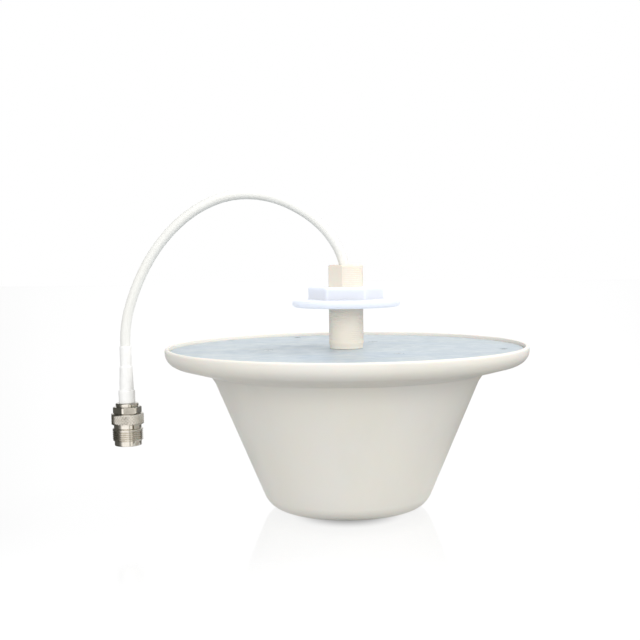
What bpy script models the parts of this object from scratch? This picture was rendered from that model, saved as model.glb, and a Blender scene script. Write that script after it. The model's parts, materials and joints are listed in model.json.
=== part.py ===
"""Indoor omnidirectional ceiling antenna for a cellular signal booster.

A hollow ABS dome carries an aluminium ground plane in its open rim. A hollow threaded stud rises
from the ground plane and holds a two-part flange nut. A coaxial pigtail leaves the stud, arches
over and ends in a threaded coaxial jack. The monocone radiator hangs inside the dome.

Frame: +Z up, origin at the centre of the dome's flat bottom, pigtail arching towards -X.
All lengths below are in millimetres unless a name says otherwise; meshes are stored in metres.
"""

import math

import bmesh
import bpy
from mathutils import Matrix, Vector

MM = 0.001
FULL_TURN = 2 * math.pi

# Clearances between neighbouring pieces
GAP = 0.3
FINE_GAP = 0.1

# Dome shell
WALL = 2.2
DOME_BOTTOM_FLAT = 32.0
DOME_CORNER = 12.0
CONE_REF_RADIUS = 67.0
CONE_REF_HEIGHT = 64.35
CONE_SLOPE = 0.4195
FLANGE_ROOT_HEIGHT = 70.8
FLANGE_SLOPE_DEG = 12.3
RIM_RADIUS = 93.0
RIM_CURVE = 7.6
RIM_CURVE_HEIGHT = 82.0
RIM_TOP = 83.7
RIM_EDGE = 1.1
POCKET_RADIUS = 91.0
LEDGE_INNER = 87.5
BOSS_RADIUS = 4.0
BOSS_BOTTOM = 74.7
BOSS_HOLE = 1.4
BOSS_HOLE_BOTTOM = 75.6

# Ground plane
PLATE_TOP = 82.0
PLATE_THICK = 1.5
PLATE_RADIUS = 90.3
PLATE_BOTTOM = PLATE_TOP - PLATE_THICK

# Screws through the ground plane
COVER_SCREW_CIRCLE = 80.0
COVER_SCREW_FIRST_DEG = -9.0
STANDOFF_CIRCLE = 40.5
STANDOFF_FIRST_DEG = -51.0
SCREW_SHANK = 1.05
SCREW_HOLE = 1.4
COVER_HEAD = 1.9
COVER_SCREW_LENGTH = 6.0
STANDOFF_HEAD = 2.4
STANDOFF_SCREW_LENGTH = 9.0
SCREW_HEAD_DEPTH = 1.1
RECESS_WIDTH = 0.5
RECESS_HEIGHT = 1.4

# Threaded stud and its inner fixings
STUD_RADIUS = 8.9
STUD_TOP = 125.0
STUD_BORE = 4.4
STUD_BORE_BOTTOM = 111.0
CABLE_BORE_TOP = 108.0
STUD_CHAMFER = 0.7
STUD_FOOT_RADIUS = 8.55
STUD_FOOT_HEIGHT = 2.2
STUD_FOOT_TAPER = 0.6
TAIL_RADIUS = 6.8
TAIL_BOTTOM = 74.3
TAIL_CHAMFER = 0.6
WRENCH_FLAT_OFFSET = 7.4
WRENCH_FLAT_LENGTH = 12.0
WRENCH_FLAT_DEG = 225.0
WASHER_TOP = PLATE_BOTTOM - GAP
WASHER_BOTTOM = 79.0
WASHER_RADIUS = 12.0
LOCK_NUT_TOP = WASHER_BOTTOM - GAP
LOCK_NUT_BOTTOM = 73.7
LOCK_NUT_FLATS = 19.0

# Flange nut
NUT_BOTTOM = 103.55
NUT_FLANGE_TOP = 107.35
NUT_FLANGE_RADIUS = 27.7
NUT_FLANGE_EDGE = 1.5
NUT_TOP = 113.85
NUT_BORE = STUD_RADIUS + GAP
NUT_HEX_FLATS = 34.0

# Feed and radiator
CABLE_RADIUS = 2.55
FEED_TOP = 117.2
FEED_BOTTOM = 73.7
DIELECTRIC_RADIUS = 1.45
DIELECTRIC_BOTTOM = 67.0
CONDUCTOR_RADIUS = 0.45
CONDUCTOR_TIP = 2.0
FEED_SOCKET = 3.0
SOLDER_RADIUS = 8.0
SOLDER_DEPTH = 1.3
FEED_BUSH_RADIUS = 6.0
BEAD_RADIUS = 2.2
BEAD_DEPTH = 0.9
CONE_TIP_TOP = 65.7
SHEET = 0.7
CONE_TIP_RADIUS = 5.0
CONE_MOUTH_RADIUS = 36.0
CONE_FLANGE_RADIUS = 45.0
CONE_FLANGE_TOP = 35.2
DRUM_BOTTOM = 11.7
DRUM_RADIUS = 35.2
DRUM_CORNER = 1.3
LEG_WIDTH = 6.0
LEG_THICK = 0.8
LEG_FOOT = (38.5, 47.0)
LEG_HEAD = (54.0, 61.0)
STANDOFF_RADIUS = 3.4
STANDOFF_CHAMFER = 0.3

# Pigtail: equal arcs, each turning the heading from straight up over to straight down
SWIVEL_HEIGHT = 117.5
LINK_LENGTH = 18.28
LINK_TURNS_DEG = (29.3, 22.1, 16.6, 20.7, 23.0, 17.6, 13.7, 11.2, 9.7, 16.6)
LINK_END_CHAMFER = 0.5
LINK_RINGS = 4
CABLE_SIDES = 16

# Cable end: distances along its own axis from the last pivot
TAIL_START = 0.5
TAIL_END = 30.0
SHRINK_START = 1.1
FERRULE_START = 11.6
FERRULE_END = 35.0
SHRINK_STEP = 24.2
SHRINK_END = 30.6
BUSH_END = 32.5
CLAMP_END = 36.0
KNURL_END = 41.6
NECK_END = 44.1
THREAD_END = 50.3
JACK_END = 52.8
BORE_START = 36.9
INSULATOR_START = 37.0
INSULATOR_END = 43.5
CONTACT_START = 36.6
CONTACT_SOCKET = 44.5
CONTACT_END = 48.7

# Cable end: radii and widths
SLEEVE_CABLE_RADIUS = 3.0
FERRULE_RADIUS = 2.95
SLEEVE_FERRULE_RADIUS = 3.3
SLEEVE_RADIUS = 3.62
SHORT_SLEEVE_RADIUS = 4.2
BUSH_RADIUS = 5.95
LIP_RADIUS = 7.0
CABLE_HOLE = 3.2
INSULATOR_RADIUS = 4.0
INSULATOR_HOLE = 1.6
CONTACT_RADIUS = 1.5
CONTACT_BORE = 0.85
CONTACT_SLOT = 0.35
CLAMP_TURN_DEG = -100.0
KNURL_RADIUS = 8.4
NECK_RADIUS = 7.15
THREAD_RADIUS = 7.94
THREAD_DEPTH = 0.6
THREAD_PITCH = 25.4 / 24
JACK_BORE = 4.3
CLAMP_CORNERS = 15.3

COLOURS = {
    "dome_abs": ((0.80, 0.79, 0.73), 0.42, 0.0),
    "stud_abs": ((0.82, 0.79, 0.68), 0.45, 0.0),
    "nut_nylon": ((0.82, 0.88, 0.97), 0.30, 0.0),
    "aluminium": ((0.62, 0.67, 0.72), 0.38, 1.0),
    "nickel": ((0.70, 0.68, 0.64), 0.22, 1.0),
    "brass": ((0.78, 0.60, 0.30), 0.32, 1.0),
    "black_steel": ((0.06, 0.06, 0.065), 0.40, 1.0),
    "steel": ((0.60, 0.60, 0.60), 0.30, 1.0),
    "tinplate": ((0.66, 0.67, 0.68), 0.33, 1.0),
    "solder": ((0.55, 0.56, 0.58), 0.35, 1.0),
    "copper": ((0.80, 0.42, 0.26), 0.30, 1.0),
    "cable_pvc": ((0.86, 0.86, 0.83), 0.40, 0.0),
    "shrink_tube": ((0.88, 0.89, 0.90), 0.36, 0.0),
    "ptfe": ((0.90, 0.90, 0.88), 0.50, 0.0),
    "nylon": ((0.86, 0.84, 0.76), 0.48, 0.0),
}


# ---------------------------------------------------------------- scene and materials

def clear_scene():
    for obj in list(bpy.data.objects):
        bpy.data.objects.remove(obj, do_unlink=True)


def make_materials():
    made = {}
    for name, (colour, roughness, metallic) in COLOURS.items():
        material = bpy.data.materials.new(name)
        material.use_nodes = True
        shader = material.node_tree.nodes["Principled BSDF"]
        shader.inputs["Base Color"].default_value = (*colour, 1.0)
        shader.inputs["Roughness"].default_value = roughness
        shader.inputs["Metallic"].default_value = metallic
        material.diffuse_color = (*colour, 1.0)
        made[name] = material
    return made


def add_object(name, mesh, material, smooth=True):
    obj = bpy.data.objects.new(name, mesh)
    bpy.context.scene.collection.objects.link(obj)
    mesh.materials.clear()
    mesh.materials.append(material)
    for polygon in mesh.polygons:
        polygon.use_smooth = smooth
    return obj


def as_cutter(obj):
    obj.hide_render = True
    obj.display_type = "WIRE"
    return obj


# ---------------------------------------------------------------- shape helpers

def lathe(name, profile, material, segments=48):
    """Solid of revolution about Z from (radius, height) points running down the outer side.

    A profile with both ends on the axis stays open there; any other is closed into a ring.
    """
    on_axis = profile[0][0] == 0 and profile[-1][0] == 0
    count = len(profile)
    edges = [(i, i + 1) for i in range(count - 1)]
    if not on_axis:
        edges.append((count - 1, 0))
    mesh = bpy.data.meshes.new(name)
    mesh.from_pydata([(r * MM, 0, z * MM) for r, z in profile], edges, [])
    obj = add_object(name, mesh, material)
    screw = obj.modifiers.new("Revolve", "SCREW")
    screw.angle = FULL_TURN
    screw.steps = segments
    screw.render_steps = segments
    screw.use_merge_vertices = True
    screw.merge_threshold = 0.00001
    screw.use_smooth_shade = True
    return obj


def prism(name, corner_radius, sides, bottom, top, material, turn_deg=0.0):
    """Upright regular prism about Z, one corner at turn_deg from +X."""
    bm = bmesh.new()
    bmesh.ops.create_cone(
        bm,
        cap_ends=True,
        segments=sides,
        radius1=corner_radius * MM,
        radius2=corner_radius * MM,
        depth=(top - bottom) * MM,
    )
    first = min(bm.verts, key=lambda v: (round(v.co.z, 6), math.atan2(v.co.y, v.co.x) % FULL_TURN))
    found = math.atan2(first.co.y, first.co.x)
    bmesh.ops.rotate(bm, verts=bm.verts, matrix=Matrix.Rotation(math.radians(turn_deg) - found, 3, "Z"))
    bmesh.ops.translate(bm, verts=bm.verts, vec=(0, 0, (top + bottom) / 2 * MM))
    mesh = bpy.data.meshes.new(name)
    bm.to_mesh(mesh)
    bm.free()
    return add_object(name, mesh, material, smooth=False)


def box(name, size, centre, material, turn_deg=0.0):
    """Box of the given sides, centred before it is turned about Z."""
    bm = bmesh.new()
    bmesh.ops.create_cube(bm, size=1.0)
    bmesh.ops.scale(bm, verts=bm.verts, vec=[side * MM for side in size])
    bmesh.ops.translate(bm, verts=bm.verts, vec=[c * MM for c in centre])
    bmesh.ops.rotate(bm, verts=bm.verts, matrix=Matrix.Rotation(math.radians(turn_deg), 3, "Z"))
    mesh = bpy.data.meshes.new(name)
    bm.to_mesh(mesh)
    bm.free()
    return add_object(name, mesh, material, smooth=False)


def boolean(obj, other, operation):
    """Cuts, joins or intersects obj with a hidden helper."""
    as_cutter(other)
    modifier = obj.modifiers.new(operation.title(), "BOOLEAN")
    modifier.operation = operation
    modifier.solver = "EXACT"
    modifier.object = other
    return obj


def on_circle(radius, degrees, height=0.0):
    angle = math.radians(degrees)
    return Vector((radius * math.cos(angle), radius * math.sin(angle), height)) * MM


def thirds(first_deg):
    return [first_deg + 120 * i for i in range(3)]


def arc_points(centre, radius, start_deg, end_deg, steps):
    """(radius, height) points along an arc of a profile, ends included."""
    points = []
    for i in range(steps + 1):
        angle = math.radians(start_deg + (end_deg - start_deg) * i / steps)
        points.append((centre[0] + radius * math.cos(angle), centre[1] + radius * math.sin(angle)))
    return points


def cone_radius(height):
    """Outer radius of the dome's conical wall at a height."""
    return CONE_REF_RADIUS + CONE_SLOPE * (height - CONE_REF_HEIGHT)


# ---------------------------------------------------------------- dome and ground plane

def dome_profile():
    """Section from the axis up the inside of the wall to the rim, then down the outside."""
    cone_angle = math.degrees(math.atan(CONE_SLOPE))
    wall_across = WALL / math.cos(math.radians(cone_angle))
    corner_centre = (DOME_BOTTOM_FLAT, DOME_CORNER)
    rim_centre = (RIM_RADIUS - RIM_CURVE, RIM_CURVE_HEIGHT)
    crest_centre = (RIM_RADIUS - RIM_EDGE, RIM_TOP - RIM_EDGE)
    inner_curve = RIM_CURVE - WALL
    ledge_angle = -math.degrees(math.acos((LEDGE_INNER - rim_centre[0]) / inner_curve))
    inner_root = FLANGE_ROOT_HEIGHT + 0.6
    inner = [(0, WALL)]
    inner += arc_points(corner_centre, DOME_CORNER - WALL, -90, -cone_angle, 2)
    inner += [(cone_radius(inner_root) - wall_across, inner_root)]
    inner += [(cone_radius(inner_root) + 0.6, inner_root + 2.0)]
    inner += arc_points(rim_centre, inner_curve, FLANGE_SLOPE_DEG - 90, ledge_angle, 1)
    ledge = PLATE_BOTTOM - GAP
    inner += [(LEDGE_INNER, ledge), (POCKET_RADIUS, ledge), (POCKET_RADIUS, RIM_TOP)]
    root_radius = cone_radius(FLANGE_ROOT_HEIGHT)
    outer = arc_points(crest_centre, RIM_EDGE, 90, 0, 2)
    outer += arc_points(rim_centre, RIM_CURVE, 0, FLANGE_SLOPE_DEG - 90, 5)
    outer += [(root_radius + 1.6, FLANGE_ROOT_HEIGHT + 0.35), (root_radius + 0.25, FLANGE_ROOT_HEIGHT - 0.4)]
    outer += [(cone_radius(FLANGE_ROOT_HEIGHT - 2.0), FLANGE_ROOT_HEIGHT - 2.0)]
    outer += arc_points(corner_centre, DOME_CORNER, -cone_angle, -90, 4)
    outer.append((0, 0))
    return inner + outer


def make_dome(materials):
    dome = lathe("dome_shell", dome_profile(), materials["dome_abs"], segments=56)
    boss_top = PLATE_BOTTOM - GAP
    for i, degrees in enumerate(thirds(COVER_SCREW_FIRST_DEG)):
        boss = lathe(
            f"boss_{i}",
            [(0, boss_top), (BOSS_RADIUS, boss_top), (BOSS_RADIUS, BOSS_BOTTOM), (0, BOSS_BOTTOM)],
            materials["dome_abs"],
            segments=14,
        )
        boss.location = on_circle(COVER_SCREW_CIRCLE, degrees)
        boolean(dome, boss, "UNION")
    for i, degrees in enumerate(thirds(COVER_SCREW_FIRST_DEG)):
        pilot = lathe(
            f"boss_hole_{i}",
            [(0, PLATE_TOP), (BOSS_HOLE, PLATE_TOP), (BOSS_HOLE, BOSS_HOLE_BOTTOM), (0, BOSS_HOLE_BOTTOM)],
            materials["dome_abs"],
            segments=12,
        )
        pilot.location = on_circle(COVER_SCREW_CIRCLE, degrees)
        boolean(dome, pilot, "DIFFERENCE")
    return dome


def countersink_profile(head_radius, clearance):
    """Cutter for a countersunk screw: head cone above, clearance hole below."""
    head = head_radius + clearance
    cone_end = PLATE_TOP - SCREW_HEAD_DEPTH - clearance
    return [
        (0, PLATE_TOP + 1.0),
        (head, PLATE_TOP + 1.0),
        (head, PLATE_TOP - 0.35),
        (SCREW_HOLE, cone_end),
        (SCREW_HOLE, PLATE_BOTTOM - 1.0),
        (0, PLATE_BOTTOM - 1.0),
    ]


def make_ground_plane(materials):
    edge = 0.3
    section = [
        (TAIL_RADIUS + GAP, PLATE_TOP),
        (PLATE_RADIUS - edge, PLATE_TOP),
        (PLATE_RADIUS, PLATE_TOP - edge),
        (PLATE_RADIUS, PLATE_BOTTOM + edge),
        (PLATE_RADIUS - edge, PLATE_BOTTOM),
        (TAIL_RADIUS + GAP, PLATE_BOTTOM),
    ]
    plate = lathe("ground_plane", section, materials["aluminium"], segments=56)
    circles = (
        ("cover", COVER_SCREW_CIRCLE, COVER_SCREW_FIRST_DEG, COVER_HEAD),
        ("standoff", STANDOFF_CIRCLE, STANDOFF_FIRST_DEG, STANDOFF_HEAD),
    )
    for kind, circle, first_deg, head in circles:
        for i, degrees in enumerate(thirds(first_deg)):
            sink = countersink_profile(head, 2 * FINE_GAP)
            cutter = lathe(f"{kind}_hole_{i}", sink, materials["aluminium"], segments=12)
            cutter.location = on_circle(circle, degrees)
            boolean(plate, cutter, "DIFFERENCE")
    return plate


# ---------------------------------------------------------------- screws

def countersunk_screw(name, head_radius, length, material):
    """Flat-headed screw with a cross recess; its head lies just under the ground plane's face."""
    top = PLATE_TOP - FINE_GAP
    section = [
        (0, top),
        (head_radius, top),
        (head_radius, top - 0.2),
        (SCREW_SHANK, top - SCREW_HEAD_DEPTH),
        (SCREW_SHANK, top - length + 0.8),
        (0.3, top - length),
        (0, top - length),
    ]
    screw = lathe(name, section, material, segments=12)
    for i in range(2):
        arm = (head_radius * 1.3, RECESS_WIDTH, RECESS_HEIGHT)
        slot = box(f"{name}_slot_{i}", arm, (0, 0, top), material, 90 * i)
        boolean(screw, slot, "DIFFERENCE")
        slot.parent = screw
    return screw


def pan_screw(name, under_head, length, material):
    """Pan-headed screw pointing up, its head seated at height under_head."""
    head, height = 2.4, 1.6
    section = [
        (0, under_head + length),
        (0.5, under_head + length),
        (SCREW_SHANK, under_head + length - 0.7),
        (SCREW_SHANK, under_head),
        (head, under_head),
        (head, under_head - height * 0.55),
        (head * 0.75, under_head - height),
        (0, under_head - height),
    ]
    screw = lathe(name, section, material, segments=12)
    slot_size = (head * 1.1, RECESS_WIDTH, RECESS_HEIGHT)
    slot = box(f"{name}_slot", slot_size, (0, 0, under_head - height), material)
    slot.parent = screw
    return boolean(screw, slot, "DIFFERENCE")


def make_screws(materials):
    for i, degrees in enumerate(thirds(COVER_SCREW_FIRST_DEG), 1):
        name = f"cover_screw_{i}"
        screw = countersunk_screw(name, COVER_HEAD, COVER_SCREW_LENGTH, materials["black_steel"])
        screw.location = on_circle(COVER_SCREW_CIRCLE, degrees)
    for i, degrees in enumerate(thirds(STANDOFF_FIRST_DEG), 1):
        name = f"standoff_screw_{i}"
        screw = countersunk_screw(name, STANDOFF_HEAD, STANDOFF_SCREW_LENGTH, materials["steel"])
        screw.location = on_circle(STANDOFF_CIRCLE, degrees)
        seat = CONE_FLANGE_TOP - 2 * SHEET - 2 * GAP
        lower = pan_screw(f"flange_screw_{i}", seat, STANDOFF_SCREW_LENGTH, materials["steel"])
        lower.location = on_circle(STANDOFF_CIRCLE, degrees)


# ---------------------------------------------------------------- stud and nuts

def make_stud(materials):
    foot_top = PLATE_TOP + STUD_FOOT_HEIGHT
    section = [
        (STUD_BORE + STUD_CHAMFER, STUD_TOP),
        (STUD_RADIUS - STUD_CHAMFER, STUD_TOP),
        (STUD_RADIUS, STUD_TOP - STUD_CHAMFER),
        (STUD_RADIUS, foot_top + STUD_FOOT_TAPER),
        (STUD_FOOT_RADIUS, foot_top),
        (STUD_FOOT_RADIUS, PLATE_TOP + GAP),
        (TAIL_RADIUS, PLATE_TOP + GAP),
        (TAIL_RADIUS, TAIL_BOTTOM + TAIL_CHAMFER),
        (TAIL_RADIUS - TAIL_CHAMFER, TAIL_BOTTOM),
        (CABLE_RADIUS + GAP, TAIL_BOTTOM),
        (CABLE_RADIUS + GAP, CABLE_BORE_TOP),
        (STUD_BORE, STUD_BORE_BOTTOM),
        (STUD_BORE, STUD_TOP - STUD_CHAMFER),
    ]
    stud = lathe("threaded_stud", section, materials["stud_abs"], segments=36)
    depth = STUD_RADIUS - WRENCH_FLAT_OFFSET + 2.0
    for i in range(2):
        cutter = box(
            f"wrench_flat_{i}",
            (depth, 2.4 * STUD_RADIUS, 2 * WRENCH_FLAT_LENGTH),
            (WRENCH_FLAT_OFFSET + depth / 2, 0, STUD_TOP),
            materials["stud_abs"],
            WRENCH_FLAT_DEG + 180 * i,
        )
        boolean(stud, cutter, "DIFFERENCE")
    washer = [
        (TAIL_RADIUS + GAP, WASHER_TOP),
        (WASHER_RADIUS, WASHER_TOP),
        (WASHER_RADIUS, WASHER_BOTTOM),
        (TAIL_RADIUS + GAP, WASHER_BOTTOM),
    ]
    lathe("stud_washer", washer, materials["brass"], segments=28)
    bore = TAIL_RADIUS + GAP
    hex_nut("stud_lock_nut", LOCK_NUT_FLATS, LOCK_NUT_BOTTOM, LOCK_NUT_TOP, bore, materials["brass"])


def hex_nut(name, flats, bottom, top, bore, material, turn_deg=0.0, lead=0.5):
    """Hexagonal nut with a plain bore; lead is how far the turned chamfer reaches in from the corners."""
    corner = flats / math.sqrt(3)
    nut = prism(name, corner, 6, bottom, top, material, turn_deg)
    rise = lead * math.tan(math.radians(35))
    turned = lathe(
        f"{name}_corners",
        [
            (0, top + 0.0001),
            (corner - lead, top + 0.0001),
            (corner + 0.01, top - rise),
            (corner + 0.01, bottom + rise),
            (corner - lead, bottom - 0.0001),
            (0, bottom - 0.0001),
        ],
        material,
        segments=36,
    )
    boolean(nut, turned, "INTERSECT")
    hole = lathe(
        f"{name}_bore",
        [
            (0, top + 1.0),
            (bore + 1.4, top + 1.0),
            (bore, top - 0.4),
            (bore, bottom + 0.4),
            (bore + 1.4, bottom - 1.0),
            (0, bottom - 1.0),
        ],
        material,
        segments=36,
    )
    return boolean(nut, hole, "DIFFERENCE")


def make_flange_nut(materials):
    edge = NUT_FLANGE_EDGE
    section = [(NUT_BORE, NUT_FLANGE_TOP)]
    section += arc_points((NUT_FLANGE_RADIUS - edge, NUT_FLANGE_TOP - edge), edge, 90, 0, 2)
    section += arc_points((NUT_FLANGE_RADIUS - edge, NUT_BOTTOM + edge), edge, 0, -90, 2)
    section += [(NUT_BORE, NUT_BOTTOM)]
    lathe("nut_flange", section, materials["nut_nylon"], segments=40)
    hex_bottom = NUT_FLANGE_TOP + GAP
    hex_nut("nut_hex", NUT_HEX_FLATS, hex_bottom, NUT_TOP, NUT_BORE, materials["nut_nylon"])


# ---------------------------------------------------------------- feed and radiator

def make_feed(materials):
    socket = FEED_SOCKET
    dielectric_socket = DIELECTRIC_RADIUS + GAP
    lathe(
        "coax_feed",
        [
            (0, FEED_TOP),
            (CABLE_RADIUS - 0.3, FEED_TOP),
            (CABLE_RADIUS, FEED_TOP - 0.3),
            (CABLE_RADIUS, FEED_BOTTOM),
            (dielectric_socket, FEED_BOTTOM),
            (dielectric_socket, FEED_BOTTOM + socket),
            (0, FEED_BOTTOM + socket),
        ],
        materials["cable_pvc"],
        segments=24,
    )
    conductor_socket = CONDUCTOR_RADIUS + GAP
    lathe(
        "coax_dielectric",
        [
            (0, FEED_BOTTOM + socket - GAP),
            (DIELECTRIC_RADIUS, FEED_BOTTOM + socket - GAP),
            (DIELECTRIC_RADIUS, DIELECTRIC_BOTTOM),
            (conductor_socket, DIELECTRIC_BOTTOM),
            (conductor_socket, DIELECTRIC_BOTTOM + socket),
            (0, DIELECTRIC_BOTTOM + socket),
        ],
        materials["ptfe"],
        segments=20,
    )
    lathe(
        "coax_conductor",
        [
            (0, DIELECTRIC_BOTTOM + socket - GAP),
            (CONDUCTOR_RADIUS, DIELECTRIC_BOTTOM + socket - GAP),
            (CONDUCTOR_RADIUS, CONE_TIP_TOP - CONDUCTOR_TIP),
            (0, CONE_TIP_TOP - CONDUCTOR_TIP),
        ],
        materials["copper"],
        segments=12,
    )
    solder_top = LOCK_NUT_BOTTOM - GAP
    lathe(
        "braid_solder_ring",
        [
            (dielectric_socket, solder_top),
            (SOLDER_RADIUS, solder_top),
            (SOLDER_RADIUS - 0.6, solder_top - SOLDER_DEPTH / 2),
            (SOLDER_RADIUS / 2, solder_top - SOLDER_DEPTH),
            (dielectric_socket, solder_top - SOLDER_DEPTH),
        ],
        materials["solder"],
        segments=24,
    )
    bush_top = solder_top - SOLDER_DEPTH - GAP
    lathe(
        "feed_bush",
        [
            (dielectric_socket, bush_top),
            (FEED_BUSH_RADIUS, bush_top),
            (FEED_BUSH_RADIUS, CONE_TIP_TOP + GAP),
            (dielectric_socket, CONE_TIP_TOP + GAP),
        ],
        materials["ptfe"],
        segments=28,
    )
    bead_top = CONE_TIP_TOP - SHEET - GAP
    bead_hole = CONDUCTOR_RADIUS + GAP / 2
    lathe(
        "tip_solder_bead",
        [
            (bead_hole, bead_top),
            (BEAD_RADIUS, bead_top),
            (BEAD_RADIUS * 0.7, bead_top - BEAD_DEPTH * 0.8),
            (bead_hole, bead_top - BEAD_DEPTH),
        ],
        materials["solder"],
        segments=20,
    )


def flange_holes(obj, kind, bottom, top, materials):
    for i, degrees in enumerate(thirds(STANDOFF_FIRST_DEG)):
        hole = lathe(
            f"{kind}_flange_hole_{i}",
            [(0, top + 1), (SCREW_HOLE, top + 1), (SCREW_HOLE, bottom - 1), (0, bottom - 1)],
            materials["tinplate"],
            segments=10,
        )
        hole.location = on_circle(STANDOFF_CIRCLE, degrees)
        boolean(obj, hole, "DIFFERENCE")


def make_radiator(materials):
    hole = CONDUCTOR_RADIUS + GAP
    cone = lathe(
        "radiator_cone",
        [
            (hole, CONE_TIP_TOP),
            (CONE_TIP_RADIUS, CONE_TIP_TOP),
            (CONE_MOUTH_RADIUS, CONE_FLANGE_TOP),
            (CONE_FLANGE_RADIUS, CONE_FLANGE_TOP),
            (CONE_FLANGE_RADIUS, CONE_FLANGE_TOP - SHEET),
            (CONE_MOUTH_RADIUS - 0.4, CONE_FLANGE_TOP - SHEET),
            (CONE_TIP_RADIUS - 0.4, CONE_TIP_TOP - SHEET),
            (hole, CONE_TIP_TOP - SHEET),
        ],
        materials["tinplate"],
        segments=36,
    )
    flange_holes(cone, "cone", CONE_FLANGE_TOP - SHEET, CONE_FLANGE_TOP, materials)
    drum_top = CONE_FLANGE_TOP - SHEET - GAP
    inner_corner = DRUM_CORNER + GAP
    drum = lathe(
        "radiator_drum",
        [
            (0, DRUM_BOTTOM + SHEET),
            (DRUM_RADIUS - inner_corner, DRUM_BOTTOM + SHEET),
            (DRUM_RADIUS - SHEET, DRUM_BOTTOM + inner_corner),
            (DRUM_RADIUS - SHEET, drum_top),
            (CONE_FLANGE_RADIUS, drum_top),
            (CONE_FLANGE_RADIUS, drum_top - SHEET),
            (DRUM_RADIUS, drum_top - SHEET),
            (DRUM_RADIUS, DRUM_BOTTOM + DRUM_CORNER),
            (DRUM_RADIUS - DRUM_CORNER, DRUM_BOTTOM),
            (0, DRUM_BOTTOM),
        ],
        materials["tinplate"],
        segments=36,
    )
    flange_holes(drum, "drum", drum_top - SHEET, drum_top, materials)


def make_leg(name, degrees, material):
    """Shorting strip bent in two places, from the radiator's flange up to the ground plane."""
    half = LEG_THICK / 2
    low = CONE_FLANGE_TOP + GAP + half
    high = PLATE_BOTTOM - GAP - half
    line = [(r, low) for r in LEG_FOOT] + [(r, high) for r in LEG_HEAD]
    mesh = bpy.data.meshes.new(name)
    points = [(r * MM, side * LEG_WIDTH / 2 * MM, z * MM) for r, z in line for side in (-1, 1)]
    faces = [(2 * i, 2 * i + 1, 2 * i + 3, 2 * i + 2) for i in range(len(line) - 1)]
    mesh.from_pydata(points, [], faces)
    leg = add_object(name, mesh, material, smooth=False)
    leg.rotation_euler.z = math.radians(degrees)
    thicken = leg.modifiers.new("Thickness", "SOLIDIFY")
    thicken.thickness = LEG_THICK * MM
    thicken.offset = 0.0
    thicken.use_even_offset = True
    return leg


def make_supports(materials):
    for i, degrees in enumerate(thirds(STANDOFF_FIRST_DEG), 1):
        top, bottom = PLATE_BOTTOM - GAP, CONE_FLANGE_TOP + GAP
        post = lathe(
            f"standoff_{i}",
            [
                (SCREW_HOLE, top),
                (STANDOFF_RADIUS - STANDOFF_CHAMFER, top),
                (STANDOFF_RADIUS, top - STANDOFF_CHAMFER),
                (STANDOFF_RADIUS, bottom + STANDOFF_CHAMFER),
                (STANDOFF_RADIUS - STANDOFF_CHAMFER, bottom),
                (SCREW_HOLE, bottom),
            ],
            materials["nylon"],
            segments=16,
        )
        post.location = on_circle(STANDOFF_CIRCLE, degrees)
        make_leg(f"shorting_leg_{i}", degrees + 60, materials["tinplate"])


# ---------------------------------------------------------------- pigtail

def heading(angle):
    """Direction in the XZ plane at an angle from +Z towards -X."""
    return Vector((-math.sin(angle), 0.0, math.cos(angle)))


def link_frames():
    """(start point, start angle, turn) of each cable arc, then the point and angle at the end."""
    point = Vector((0.0, 0.0, SWIVEL_HEIGHT))
    angle = 0.0
    frames = []
    for turn_deg in LINK_TURNS_DEG:
        turn = math.radians(turn_deg)
        frames.append((point.copy(), angle, turn))
        chord = 2 * LINK_LENGTH / turn * math.sin(turn / 2)
        point += heading(angle + turn / 2) * chord
        angle += turn
    return frames, point, angle


def bend_angles():
    """Turn at each pivot that brings the next chord into line with the one before."""
    turns = [math.radians(t) for t in LINK_TURNS_DEG] + [0.0]
    return [(turns[i] + turns[i + 1]) / 2 for i in range(len(LINK_TURNS_DEG))]


def arc_position(start, angle, turn, distance):
    """Point and heading at a distance along a cable arc."""
    part = turn * distance / LINK_LENGTH
    chord = 2 * LINK_LENGTH / turn * math.sin(part / 2)
    return start + heading(angle + part / 2) * chord, angle + part


def cable_link(name, frame, trim_start, trim_end, material):
    """Solid length of cable along one arc, its origin on the pivot at its start."""
    start, angle, turn = frame
    first, last = trim_start, LINK_LENGTH - trim_end
    inner_first, inner_last = first + LINK_END_CHAMFER, last - LINK_END_CHAMFER
    stations = [(first, CABLE_RADIUS - LINK_END_CHAMFER)]
    for i in range(LINK_RINGS):
        stations.append((inner_first + (inner_last - inner_first) * i / (LINK_RINGS - 1), CABLE_RADIUS))
    stations.append((last, CABLE_RADIUS - LINK_END_CHAMFER))
    bm = bmesh.new()
    rings = []
    for distance, radius in stations:
        centre, direction = arc_position(start, angle, turn, distance)
        along = heading(direction)
        side = Vector((0, 1, 0))
        across = side.cross(along)
        ring = []
        for k in range(CABLE_SIDES):
            a = FULL_TURN * k / CABLE_SIDES
            point = centre - start + (side * math.cos(a) + across * math.sin(a)) * radius
            ring.append(bm.verts.new(point * MM))
        rings.append(ring)
    for near, far in zip(rings, rings[1:]):
        for k in range(CABLE_SIDES):
            following = (k + 1) % CABLE_SIDES
            bm.faces.new((near[k], far[k], far[following], near[following]))
    bm.faces.new(rings[0])
    bm.faces.new(rings[-1][::-1])
    bmesh.ops.recalc_face_normals(bm, faces=bm.faces)
    mesh = bpy.data.meshes.new(name)
    bm.to_mesh(mesh)
    bm.free()
    link = add_object(name, mesh, material)
    link.location = start * MM
    return link


def make_cable(materials):
    frames, end, angle = link_frames()
    gaps = [0.2] + [
        2 * (CABLE_RADIUS - LINK_END_CHAMFER) * math.tan(bend / 2) + GAP for bend in bend_angles()
    ]
    for i, frame in enumerate(frames):
        cable_link(f"cable_link_{i + 1:02d}", frame, gaps[i] / 2, gaps[i + 1] / 2, materials["cable_pvc"])
    return end, angle


# ---------------------------------------------------------------- cable end and jack

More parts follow.
